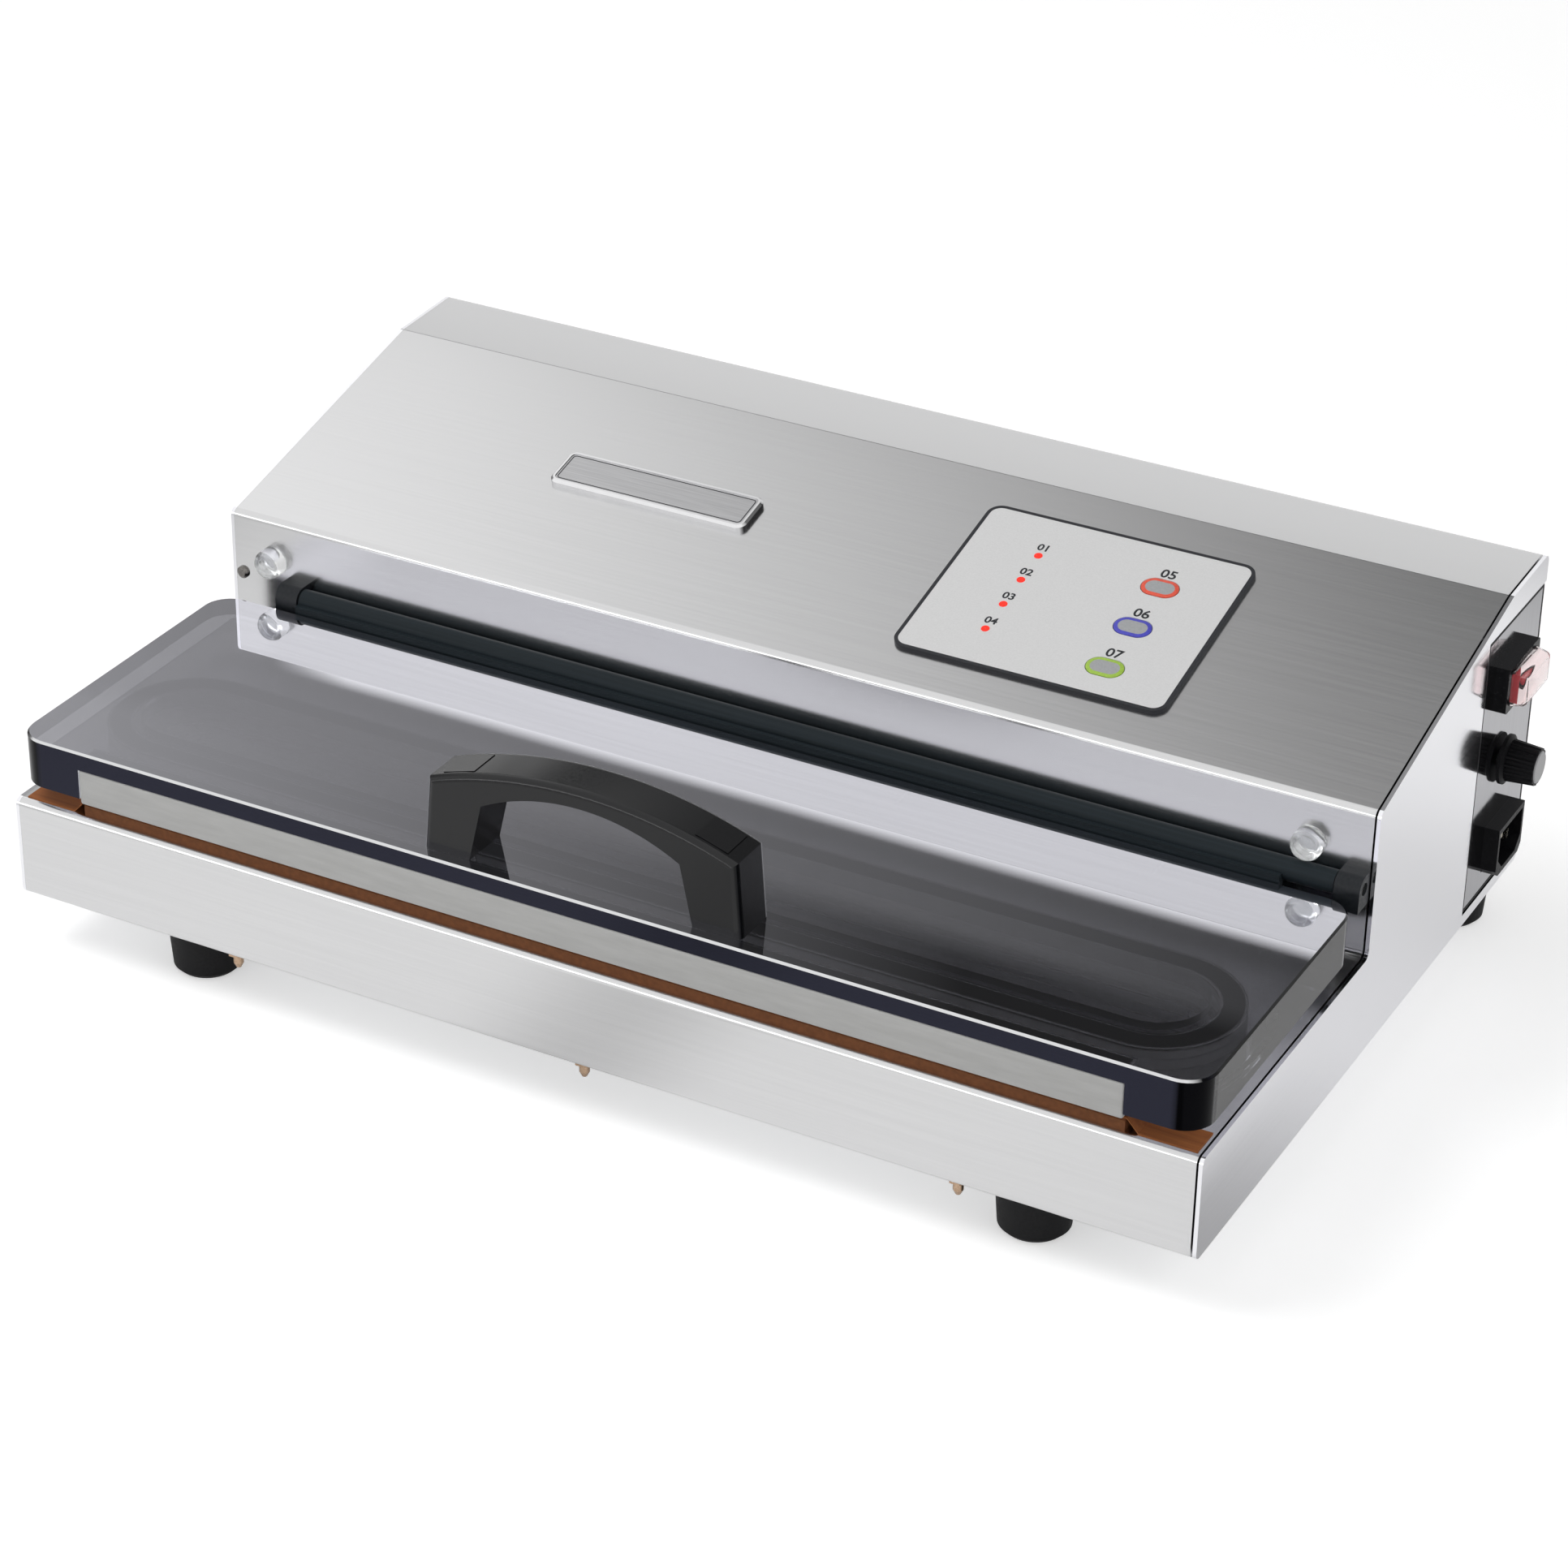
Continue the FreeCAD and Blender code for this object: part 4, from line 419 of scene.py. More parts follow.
lid_smoke = (0.42, 0.42, 0.46)
lid_painted_shade = (0.026, 0.027, 0.042)
lid_sheen = (0.92, 0.92, 0.985)
lid_end_painted_grey = (0.45, 0.46, 0.48)
lid_corner_painted_shade = (0.002, 0.002, 0.003)
lid_painted_highlight = (0.95, 0.955, 0.965)
lid_acrylic = new_finish("lid_acrylic", (0.30, 0.31, 0.35), 0.02, {
    "Transmission Weight": 1.0,
    "IOR": 1.49,
    "Specular IOR Level": 0.15,
})
lid_tree = lid_acrylic.node_tree
lid_shader = lid_tree.nodes["Principled BSDF"]
lid_axes = tone_axes(lid_tree, "Normal")
lid_ends = tone_math(lid_tree, "ABSOLUTE", lid_axes["X"])
lid_cross = tone_math(lid_tree, "ABSOLUTE", lid_axes["Y"])
lid_sides = tone_math(lid_tree, "MULTIPLY", lid_axes["X"], lid_axes["Y"])
lid_turn = tone_math(lid_tree, "ABSOLUTE", lid_sides)
lid_slant = tone_math(lid_tree, "SUBTRACT", lid_axes["Z"], lid_axes["Y"])

# The lid's tint is painted by facing: smoke beneath, painted shade on the walls, a pale mirror tint on top.
lid_lean = tone_ramp(lid_tree, lid_axes["Z"], -1.0, 1.0)
lid_tints = ((0.0, lid_smoke), (0.25, lid_smoke), (0.40, lid_painted_shade), (0.88, lid_painted_shade), (0.98, lid_sheen))
lid_tint = tone_stops(lid_tree, lid_lean, lid_tints)
# Painted tone: the end walls get a lighter painted grey.
lid_end = tone_ramp(lid_tree, lid_ends, 0.90, 0.985)
# Painted shade: the corners, where the walls turn, go black.
lid_corner_shade_share = tone_ramp(lid_tree, lid_turn, 0.08, 0.22)
# Painted highlight: a thin white line on the top front edge, which also mirrors.
lid_highlight_share = tone_ramp(lid_tree, lid_slant, 1.15, 1.35, 0.0, 0.80)
lid_wall = tone_mix(lid_tree, lid_end, lid_tint, lid_end_painted_grey)
lid_corner = tone_mix(lid_tree, lid_corner_shade_share, lid_wall, lid_corner_painted_shade)
lid_colour = tone_mix(lid_tree, lid_highlight_share, lid_corner, lid_painted_highlight)

lid_angle = lid_tree.nodes.new("ShaderNodeLayerWeight").outputs["Facing"]
lid_glances = ((0.28, 0.08), (0.45, 0.76), (0.52, 0.91), (0.56, 0.91), (0.64, 0.36))
lid_glance = tone_stops(lid_tree, lid_angle, [(place, (share,) * 3) for place, share in lid_glances])
lid_top = tone_ramp(lid_tree, lid_axes["Z"], 0.80, 0.98, smooth=True)
lid_mirror = tone_math(lid_tree, "MULTIPLY", lid_top, lid_glance)
lid_shine = tone_math(lid_tree, "MAXIMUM", lid_mirror, lid_highlight_share)
# The front and back walls become a dark mirror, as part of their painted shade.
lid_face = tone_ramp(lid_tree, lid_cross, 0.12, 0.28, 0.0, 0.94)
lid_gloss = tone_math(lid_tree, "MAXIMUM", lid_shine, lid_face)
lid_frost = tone_ramp(lid_tree, lid_axes["Z"], -0.9, -0.5, 0.10, 0.02)
lid_tree.links.new(lid_colour, lid_shader.inputs["Base Color"])
lid_tree.links.new(lid_gloss, lid_shader.inputs["Metallic"])
lid_tree.links.new(lid_frost, lid_shader.inputs["Roughness"])
dress(lid_acrylic, "lid_panel")


# Seal pad: a pale silicone strip let into the lid's front edge, which presses the bag
# on to the hot ribbon.
pad_silicone = new_finish("pad_silicone", (0.52, 0.52, 0.51), 0.50)
add_grain(pad_silicone, (60, 500, 500), ((0.49, 0.49, 0.48), (0.55, 0.55, 0.54)), (0.44, 0.58), 6e-6)
pad_edge = 0.0011
pad = soft_block(*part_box("seal_pad"), pad_edge)
settle(pad, "pad_strip", "lid", pad_silicone)
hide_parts("seal_pad")


# Hinge: a dark anodised bar screwed along the lid's rear edge, turning on a shaft in two
# moulded blocks on the upright face.
bar_anodised = new_finish("bar_anodised", (0.013, 0.019, 0.023), 0.50, {"Specular IOR Level": 0.16})
add_grain(bar_anodised, (8, 700, 700), ((0.010, 0.015, 0.018), (0.017, 0.024, 0.029)), (0.44, 0.56), 4e-6)
block_plastic = new_finish("block_plastic", (0.012, 0.014, 0.017), 0.40, {"Specular IOR Level": 0.25})
block_shades = ((0.009, 0.011, 0.014), (0.016, 0.018, 0.021))
add_grain(block_plastic, (800, 800, 800), block_shades, (0.34, 0.48), 1e-5)
dress(bar_anodised, "hinge_bar")
dress(block_plastic, "pivot_block_left", "pivot_block_right")


# Bumpers: two clear soft buttons with a raised rim, stuck to the upright face, where the
# open lid comes to rest.
bumper_glass = {"Transmission Weight": 0.92, "IOR": 1.40}
bumper_clear = new_finish("bumper_clear", (0.95, 0.96, 0.96), 0.08, bumper_glass)
add_grain(bumper_clear, (300, 300, 300), ((0.93, 0.94, 0.94), (0.97, 0.98, 0.98)), (0.05, 0.11), 4e-6)
bumper_glue = 0.0001
bumper_points = 48
bumper_steps = ((0.0007, 0.0014), (0.0006, 0.0004), (0.0007, 0.0), (0.0004, -0.0007))
for side, end in ((-1, "left"), (1, "right")):
    points = [point.co for point in nodes["lid_bumpers"].data.vertices if point.co.x * side > 0]
    low = Vector(min(point[axis] for point in points) for axis in range(3))
    high = Vector(max(point[axis] for point in points) for axis in range(3))
    bumper_wall = high.y - bumper_glue - low.y - sum(max(rise, 0) for inset, rise in bumper_steps)
    bpy.ops.object.select_all(action="DESELECT")
    bpy.ops.mesh.primitive_circle_add(vertices=bumper_points, radius=(high.z - low.z) / 2, fill_type="NGON")
    bumper = bpy.context.object
    bpy.ops.object.mode_set(mode="EDIT")
    bpy.ops.mesh.select_mode(type="FACE")
    bpy.ops.mesh.select_all(action="SELECT")
    bpy.ops.mesh.extrude_region_move(TRANSFORM_OT_translate={"value": (0, 0, bumper_wall)})
    for inset, rise in bumper_steps:
        bpy.ops.mesh.inset(thickness=inset)
        bpy.ops.transform.translate(value=(0, 0, rise))
    bpy.ops.mesh.select_all(action="SELECT")
    bpy.ops.mesh.normals_make_consistent(inside=False)
    bpy.ops.object.mode_set(mode="OBJECT")
    bpy.ops.object.shade_smooth_by_angle(angle=sharp_angle)
    bumper.rotation_euler = (math.radians(90), 0, 0)
    bumper.location = ((low.x + high.x) / 2, high.y - bumper_glue, (low.z + high.z) / 2)
    settle(bumper, "bumper_" + end, "housing", bumper_clear)
    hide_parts("lid_bumpers")


# Handle: a bow moulded in glass-filled nylon with a fine spark-eroded skin, fixed through the
# lid by a screw in each leg, under a snap-in cap. Its faces that look along X are painted dark, as painted
# shade.
handle_nylon = new_finish("handle_nylon", (0.0040, 0.0042, 0.0052), 0.18, {"Specular IOR Level": 0.42})
nylon_shades = ((0.0032, 0.0034, 0.0042), (0.0050, 0.0052, 0.0064))
add_grain(handle_nylon, (1300, 1300, 1300), nylon_shades, (0.15, 0.22), 6e-6)
end_start, end_full = 0.55, 0.85


def paint_end_shade(finish, dark):
    """Paints shade into a finish: dark and plain on the faces that look along X."""
    tree = finish.node_tree
    shader = tree.nodes["Principled BSDF"]
    grain = shader.inputs["Base Color"].links[0].from_socket
    along = tone_math(tree, "ABSOLUTE", tone_axes(tree, "Normal")["X"])
    share = tone_ramp(tree, along, end_start, end_full)
    tree.links.new(tone_mix(tree, share, grain, dark), shader.inputs["Base Color"])
    if shader.inputs["Metallic"].default_value < 0.5:
        tree.links.new(share, shader.inputs["Metallic"])


# Painted shade: the handle's faces that look along X turn dark and mirror-like.
paint_end_shade(handle_nylon, (0.010, 0.0105, 0.012))
dress(handle_nylon, "handle", "handle_caps")


# Keypad overlay: a printed polycarbonate film stuck to the sloped panel, with a dark line
# printed round its edge. The film's pale ground is finely grained.
overlay_film = new_finish("overlay_film", (0.78, 0.78, 0.78), 0.42)
film_shades = ((0.755, 0.755, 0.755), (0.805, 0.805, 0.805))
add_grain(overlay_film, (1400, 1400, 1400), film_shades, (0.36, 0.50), 4e-6)
dress(overlay_film, "keypad_overlay")

press = next(joint for joint in frame["joints"] if joint["name"] == "start_press")
film_normal = -Vector(press["axis"]).normalized()
film_tilt = math.atan2(-film_normal.y, film_normal.z)
film_low, film_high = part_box("keypad_overlay")
film_middle = (film_low + film_high) / 2
film_uphill = Vector((0, math.cos(film_tilt), math.sin(film_tilt)))
film_width = film_high.x - film_low.x
film_points = [point.co - film_middle for point in nodes["keypad_overlay"].data.vertices]
film_length = 2 * max(point.dot(film_uphill) for point in film_points)
film_top = max(point.dot(film_normal) for point in film_points)
film_under = min(point.dot(film_normal) for point in film_points)


def lay_on_film(piece, across, uphill, lift):
    """Turns a piece that was made flat on to the film, so far from the film's middle."""
    piece.rotation_euler = (film_tilt, 0, 0)
    piece.location = film_middle + Vector((across, 0, 0)) + film_uphill * uphill + film_normal * lift


line_ink = new_finish("line_ink", (0.030, 0.031, 0.036), 0.46, {"Specular IOR Level": 0.25})
add_grain(line_ink, (1200, 1200, 1200), ((0.025, 0.026, 0.030), (0.037, 0.038, 0.044)), (0.40, 0.54), 2e-6)
line_width = 0.0015
line_corner = 0.006
line_proud = 0.00005
border = flat_frame(
    film_width + 2 * line_proud, film_length + 2 * line_proud, line_corner, line_width,
    film_top - film_under + line_proud)
lay_on_film(border, 0, 0, film_under)
settle(border, "overlay_border", "housing", line_ink)


# Lights: four red lamps behind clear-topped windows in the film, in a row up its left side.
# Each is a small moulded lens that glows softly.
lamp_red = new_finish("lamp_red", (0.86, 0.02, 0.008), 0.24, {
    "Emission Color": (1.0, 0.03, 0.01, 1.0),
    "Emission Strength": 0.45,
})
add_grain(lamp_red, (900, 900, 900), ((0.80, 0.016, 0.006), (0.92, 0.026, 0.012)), (0.18, 0.30), 3e-6)
dress(lamp_red, "status_lights")


# Buttons: three oval domes formed in the film over push switches. Each has a coloured ring
# printed round a grey middle, and gives a short press.
button_grey = new_finish("button_grey", (0.42, 0.43, 0.44), 0.40)
add_grain(button_grey, (1200, 1200, 1200), ((0.39, 0.40, 0.41), (0.45, 0.46, 0.47)), (0.34, 0.48), 4e-6)
button_width = 0.015
button_height = 0.010
button_stretch = (button_width - button_height) / 2
button_wall = 0.0004
button_rise = 0.0001
button_points = 48
button_crown = button_wall + 3 * button_rise
edge_width, ring_width, seam_width, dome_width = 0.0002, 0.0013, 0.0001, 0.0015
ring_colours = {
    "start": ((0.40, 0.62, 0.075), "button_green"),
    "seal": ((0.075, 0.075, 0.56), "button_blue"),
    "stop": ((0.88, 0.11, 0.06), "button_red"),
}
button_places = {}
for action, (colour, slot_name) in ring_colours.items():
    ring_ink = new_finish(action + "_ring", colour, 0.36)
    darker = tuple(0.88 * part for part in colour)
    lighter = tuple(min(1.0, 1.12 * part) for part in colour)
    add_grain(ring_ink, (1200, 1200, 1200), (darker, lighter), (0.30, 0.44), 3e-6)
    low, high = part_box(action + "_button")
    middle = (low + high) / 2 - film_middle
    top = max(Vector(point.co).dot(film_normal) for point in nodes[action + "_button"].data.vertices)
    top -= film_middle.dot(film_normal)
    button_places[action] = (middle.x, middle.dot(film_uphill))
    bpy.ops.object.select_all(action="DESELECT")
    bpy.ops.mesh.primitive_circle_add(vertices=button_points, radius=button_height / 2, fill_type="NGON")
    button = bpy.context.object
    bpy.ops.object.mode_set(mode="EDIT")
    for side in (-1, 1):
        select_where(lambda point: point.x * side > 1e-6, "VERT")
        bpy.ops.transform.translate(value=(side * button_stretch, 0, 0))
    bpy.ops.mesh.select_mode(type="FACE")
    bpy.ops.mesh.select_all(action="SELECT")
    bpy.ops.mesh.extrude_region_move(TRANSFORM_OT_translate={"value": (0, 0, button_wall)})
    for inset in (edge_width, ring_width):
        bpy.ops.mesh.inset(thickness=inset)
        bpy.ops.transform.translate(value=(0, 0, button_rise))
    button.data.materials.append(ring_ink)
    button.data.materials.append(button_grey)
    button.active_material_index = 1
    bpy.ops.mesh.inset(thickness=seam_width)
    bpy.ops.object.material_slot_assign()
    bpy.ops.mesh.inset(thickness=dome_width)
    bpy.ops.transform.translate(value=(0, 0, button_rise))
    bpy.ops.mesh.select_all(action="SELECT")
    bpy.ops.mesh.normals_make_consistent(inside=False)
    bpy.ops.object.mode_set(mode="OBJECT")
    bpy.ops.object.shade_smooth_by_angle(angle=smooth_angle)
    lay_on_film(button, *button_places[action], top - button_crown)
    settle(button, action + "_cap", "button_" + action, ring_ink)
    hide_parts(action + "_button")


# Keypad numbers: plain dark figures, printed on the film with the same ink as its border, above
# each light and each button.
light_radius = 0.0016
light_figure, light_gap = 0.0052, 0.0034
button_figure, button_gap = 0.0066, 0.0064
figure_weight, figure_ink = 0.00013, 0.00002
light_places = [Vector(point.co) - film_middle for point in nodes["status_lights"].data.vertices]
light_across = sum(place.x for place in light_places) / len(light_places)
light_low = min(place.dot(film_uphill) for place in light_places) + light_radius
light_high = max(place.dot(film_uphill) for place in light_places) - light_radius
figures = []
for step in range(4):
    uphill = light_high + (light_low - light_high) * step / 3
    figures.append(("%02d" % (step + 1), light_figure, light_across, uphill + light_gap))
for step, action in enumerate(("stop", "seal", "start")):
    across, uphill = button_places[action]
    figures.append(("%02d" % (step + 5), button_figure, across, uphill + button_gap))
for figure, size, across, uphill in figures:
    bpy.ops.object.select_all(action="DESELECT")
    bpy.ops.object.text_add()
    mark = bpy.context.object
    mark.data.body = figure
    mark.data.size = size
    mark.data.align_x = "CENTER"
    mark.data.offset = figure_weight
    mark.data.extrude = figure_ink
    bpy.ops.object.convert(target="MESH")
    mark = bpy.context.object
    lay_on_film(mark, across, uphill, film_top + figure_ink)
    settle(mark, "keypad_figure_" + figure, "housing", line_ink)


# Badge: a bright chromed frame stuck on the sloped panel, holding a bare brushed insert with
# one fine line printed round its edge.
badge_chrome = new_finish("badge_chrome", (0.82, 0.82, 0.83), 0.08, {"Metallic": 1.0})
add_grain(badge_chrome, (200, 200, 200), ((0.80, 0.80, 0.81), (0.84, 0.84, 0.85)), (0.05, 0.12), 1e-6)
badge_brushed = new_finish("badge_brushed", (0.56, 0.56, 0.57), 0.34, {"Metallic": 1.0})
add_grain(badge_brushed, (40, 1500, 1500), ((0.50, 0.50, 0.51), (0.62, 0.62, 0.63)), (0.28, 0.40), 3e-6)
# Painted shade: the chrome frame turns dark and plain on its faces that look along X.
paint_end_shade(badge_chrome, (0.05, 0.05, 0.052))
dress(badge_chrome, "badge_frame")
dress(badge_brushed, "badge_insert")
insert_low, insert_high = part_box("badge_insert")
insert_middle = (insert_low + insert_high) / 2
insert_points = [point.co - insert_middle for point in nodes["badge_insert"].data.vertices]
insert_width = insert_high.x - insert_low.x
insert_length = 2 * max(point.dot(film_uphill) for point in insert_points)
insert_top = max(point.dot(film_normal) for point in insert_points)
fine_inset, fine_line, fine_corner = 0.0008, 0.0004, 0.0016
outline = flat_frame(
    insert_width - 2 * fine_inset, insert_length - 2 * fine_inset, fine_corner, fine_line, line_proud)
outline.rotation_euler = (film_tilt, 0, 0)
outline.location = insert_middle + film_normal * insert_top
settle(outline, "badge_outline", "housing", line_ink)


# Power switch: a glossy black frame snapped into the control plate, a red rocker, and a clear
# soft hood over the rocker against splashes.
switch_gloss = new_finish("switch_gloss", (0.005, 0.005, 0.006), 0.24, {"Specular IOR Level": 0.10})
add_grain(switch_gloss, (500, 500, 500), ((0.004, 0.004, 0.005), (0.007, 0.007, 0.008)), (0.18, 0.30), 4e-6)
rocker_red = new_finish("rocker_red", (0.62, 0.018, 0.035), 0.22, {"Transmission Weight": 0.15})
add_grain(rocker_red, (400, 400, 400), ((0.56, 0.014, 0.030), (0.68, 0.024, 0.042)), (0.16, 0.28), 3e-6)
hood_glass = {"Transmission Weight": 0.97, "IOR": 1.18}
hood_clear = new_finish("hood_clear", (0.95, 0.88, 0.88), 0.06, hood_glass)
add_grain(hood_clear, (120, 120, 120), ((0.93, 0.86, 0.86), (0.97, 0.90, 0.90)), (0.03, 0.10), 3e-6)
dress(switch_gloss, "switch_frame")
dress(rocker_red, "switch_rocker")
hood_low, hood_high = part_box("switch_hood")
hood_middle = (hood_low + hood_high) / 2
hood_length, hood_width, hood_reach = 0.0276, 0.0146, 0.0062
hood_draft, hood_bend, hood_wall, hood_seat = 0.86, 0.0018, 0.0008, 0.00005
bpy.ops.object.select_all(action="DESELECT")
bpy.ops.mesh.primitive_cube_add(size=1.0)
hood = bpy.context.object
hood.scale = (hood_reach, hood_length, hood_width)
bpy.ops.object.transform_apply(location=False, rotation=False, scale=True)
bpy.ops.object.mode_set(mode="EDIT")
select_where(lambda middle: middle.x > 0.4 * hood_reach)
bpy.ops.transform.resize(value=(1, 0.5 + hood_draft / 2, hood_draft))
select_where(lambda middle: middle.x < -0.4 * hood_reach)
bpy.ops.mesh.delete(type="FACE")
round_edges(hood_bend)
hood_skin = hood.modifiers.new("skin", "SOLIDIFY")
hood_skin.thickness = hood_wall
hood_skin.offset = -1.0
bpy.ops.object.modifier_apply(modifier="skin")
hood.location = (hood_low.x + hood_seat + hood_reach / 2, hood_middle.y, hood_middle.z)
settle(hood, "rocker_hood", "housing", hood_clear)
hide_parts("switch_hood")


# Time knob: a ribbed black moulding pushed on to the potentiometer's spindle, with a pale cap
# pressed into its end.
knob_black = new_finish("knob_black", (0.006, 0.006, 0.007), 0.42, {"Specular IOR Level": 0.10})
knob_shades = ((0.005, 0.005, 0.006), (0.010, 0.010, 0.011))
add_grain(knob_black, (1100, 1100, 1100), knob_shades, (0.36, 0.50), 1e-5)
knob_grey = new_finish("knob_grey", (0.42, 0.42, 0.43), 0.36)
add_grain(knob_grey, (700, 700, 700), ((0.39, 0.39, 0.40), (0.45, 0.45, 0.46)), (0.30, 0.42), 4e-6)
dress(knob_black, "time_knob")
dress(knob_grey, "knob_cap")


# Mains inlet: a black moulded socket snapped into the control plate, with three plated blades
# standing in its hollow.
inlet_black = new_finish("inlet_black", (0.005, 0.005, 0.006), 0.36, {"Specular IOR Level": 0.10})
add_grain(inlet_black, (800, 800, 800), ((0.005, 0.005, 0.006), (0.008, 0.008, 0.009)), (0.30, 0.44), 8e-6)
blade_plate = new_finish("blade_plate", (0.70, 0.66, 0.55), 0.24, {"Metallic": 1.0})
add_grain(blade_plate, (900, 900, 900), ((0.64, 0.60, 0.49), (0.76, 0.72, 0.61)), (0.18, 0.32), 2e-6)
dress(inlet_black, "inlet_socket")
dress(blade_plate, "inlet_blades")


# Studio floor: a wide white sheet under the object, bright to the lens and still shadowed. Soft
# grey patches on it, in front, beside and far off, show only as mirror images in the steel.
floor_size = 14.0
bpy.ops.object.select_all(action="DESELECT")
bpy.ops.mesh.primitive_plane_add(size=floor_size)
floor = bpy.context.object
floor.name = "studio_floor"
floor_paper = bpy.data.materials.new("floor_paper")
floor_paper.use_nodes = True
paper_tree = floor_paper.node_tree
paper_tree.nodes.clear()
paper_rays = paper_tree.nodes.new("ShaderNodeLightPath").outputs
paper_axes = tone_axes(paper_tree, "Object")


def paper_math(operation, first, second=0.0):
    """One step of arithmetic on the floor's light."""
    return tone_math(paper_tree, operation, first, second)


def paper_ramp(axis, start, end, first, last):
    """A smooth change from one number to another over a stretch of the floor."""
    return tone_ramp(paper_tree, axis, start, end, first, last, smooth=True)


direct_lift, mirror_lift = 0.50, 0.32
seen = paper_math("MAXIMUM", paper_rays["Is Camera Ray"], paper_rays["Is Transmission Ray"])
direct = paper_math("MULTIPLY", seen, direct_lift)
mirrored = paper_math("MULTIPLY", paper_rays["Is Glossy Ray"], mirror_lift)
lift = paper_math("MAXIMUM", direct, mirrored)

stripe_middle, stripe_reach, stripe_shade = -0.028, 0.065, 0.27
from_stripe = paper_math("ABSOLUTE", paper_math("SUBTRACT", paper_axes["X"], stripe_middle))
stripe = paper_ramp(from_stripe, 0.0, stripe_reach, stripe_shade, 0.0)
side_start, side_full, side_near, side_far = 0.225, 0.245, 0.262, 0.285
side_front, side_back, side_shade = -0.125, 0.035, 0.48
side_inner = paper_ramp(paper_axes["X"], side_start, side_full, 0.0, side_shade)
side_outer = paper_ramp(paper_axes["X"], side_near, side_far, 1.0, 0.0)
side_along = paper_ramp(paper_axes["Y"], side_front, side_back, 1.0, 0.0)
beside = paper_math("MULTIPLY", paper_math("MULTIPLY", side_inner, side_outer), side_along)
far_left, far_right, far_back = -0.31, 0.34, 0.36
far_reach, far_shade = 0.14, 0.34
leftward = paper_ramp(paper_axes["X"], far_left - far_reach, far_left, far_shade, 0.0)
rightward = paper_ramp(paper_axes["X"], far_right, far_right + far_reach, 0.0, far_shade)
rearward = paper_ramp(paper_axes["Y"], far_back, far_back + far_reach, 0.0, far_shade)
patches = stripe
for patch in (beside, leftward, rightward, rearward):
    patches = paper_math("MAXIMUM", patches, patch)
shade = paper_math("MULTIPLY", patches, paper_rays["Is Glossy Ray"])

paper_white = paper_tree.nodes.new("ShaderNodeBsdfDiffuse")
paper_white.inputs["Color"].default_value = (0.82, 0.82, 0.82, 1.0)
paper_glow = paper_tree.nodes.new("ShaderNodeEmission")
paper_lit = paper_tree.nodes.new("ShaderNodeAddShader")
paper_grey = paper_tree.nodes.new("ShaderNodeBsdfDiffuse")
paper_grey.inputs["Color"].default_value = (0.02, 0.02, 0.02, 1.0)
paper_mix = paper_tree.nodes.new("ShaderNodeMixShader")
paper_out = paper_tree.nodes.new("ShaderNodeOutputMaterial")
paper_tree.links.new(lift, paper_glow.inputs["Strength"])
paper_tree.links.new(paper_white.outputs[0], paper_lit.inputs[0])
paper_tree.links.new(paper_glow.outputs[0], paper_lit.inputs[1])
paper_tree.links.new(shade, paper_mix.inputs["Fac"])
paper_tree.links.new(paper_lit.outputs[0], paper_mix.inputs[1])
paper_tree.links.new(paper_grey.outputs[0], paper_mix.inputs[2])
paper_tree.links.new(paper_mix.outputs[0], paper_out.inputs["Surface"])
floor.data.materials.append(floor_paper)


# Studio card: a graded board behind the object, out of the lens's sight, that gives the lid its
# dark mirror and the sloped panel its fall from light to grey. Its ends fade out to nothing.
card_left, card_right = -1.30, 0.90
card_foot, card_top = 0.0, 1.50
card_back = 0.50
bpy.ops.object.select_all(action="DESELECT")
bpy.ops.mesh.primitive_plane_add(size=1.0)
card = bpy.context.object
card.name = "studio_card"
card.scale = (card_right - card_left, card_top - card_foot, 1)
card.rotation_euler = (math.radians(90), 0, 0)
card.location = ((card_left + card_right) / 2, card_back, (card_foot + card_top) / 2)
bpy.ops.object.transform_apply(location=True, rotation=True, scale=True)
card_paint = bpy.data.materials.new("card_paint")
card_paint.use_nodes = True
card_tree = card_paint.node_tree
card_tree.nodes.clear()
card_axes = tone_axes(card_tree, "Object")


def card_ramp(axis, start, end, first=0.0, last=1.0):
    """An even change of tone on the card from one place to another along an axis."""
    return tone_ramp(card_tree, card_axes[axis], start, end, first, last)


def card_mix(share, low_tone, high_tone):
    """Two tones of the card mixed by a share."""
    return tone_mix(card_tree, share, low_tone, high_tone)


roof_white = 0.92
lid_middle = card_ramp("X", -0.74, 0.04, 0.275, 0.045)
lid_front = card_ramp("X", -0.76, -0.16, 0.32, 0.020)
lid_rise = card_ramp("Z", 0.498, 0.516)
slope_high = card_ramp("X", -0.62, 0.056, 1.10, 0.20)
slope_low = card_ramp("X", -0.82, -0.037, 1.15, 0.27)
slope_rise = card_ramp("Z", 0.69, 0.925)
corner_rise = card_ramp("Z", 0.365, 0.385)
roof_run = card_ramp("X", -0.60, -0.55)
lower_rise = card_ramp("Z", 0.451, 0.459)
upper_rise = card_ramp("Z", 0.565, 0.61)
fade_right = card_ramp("X", 0.28, 0.86)
fade_left = card_ramp("X", -1.28, -1.02)
fade_top = card_ramp("Z", 1.15, 1.48)
lid_tone = card_mix(lid_rise, lid_middle, lid_front)
slope_tone = card_mix(slope_rise, slope_high, slope_low)
corner_tone = card_mix(corner_rise, roof_white, lid_tone)
roof_tone = card_mix(roof_run, corner_tone, roof_white)
lower_tone = card_mix(lower_rise, roof_tone, lid_tone)
card_tone = card_mix(upper_rise, lower_tone, slope_tone)
card_cover = card_mix(fade_top, card_mix(fade_right, fade_left, 0.0), 0.0)
card_glow = card_tree.nodes.new("ShaderNodeEmission")
card_gauze = card_tree.nodes.new("ShaderNodeBsdfTransparent")
card_fade = card_tree.nodes.new("ShaderNodeMixShader")
card_out = card_tree.nodes.new("ShaderNodeOutputMaterial")
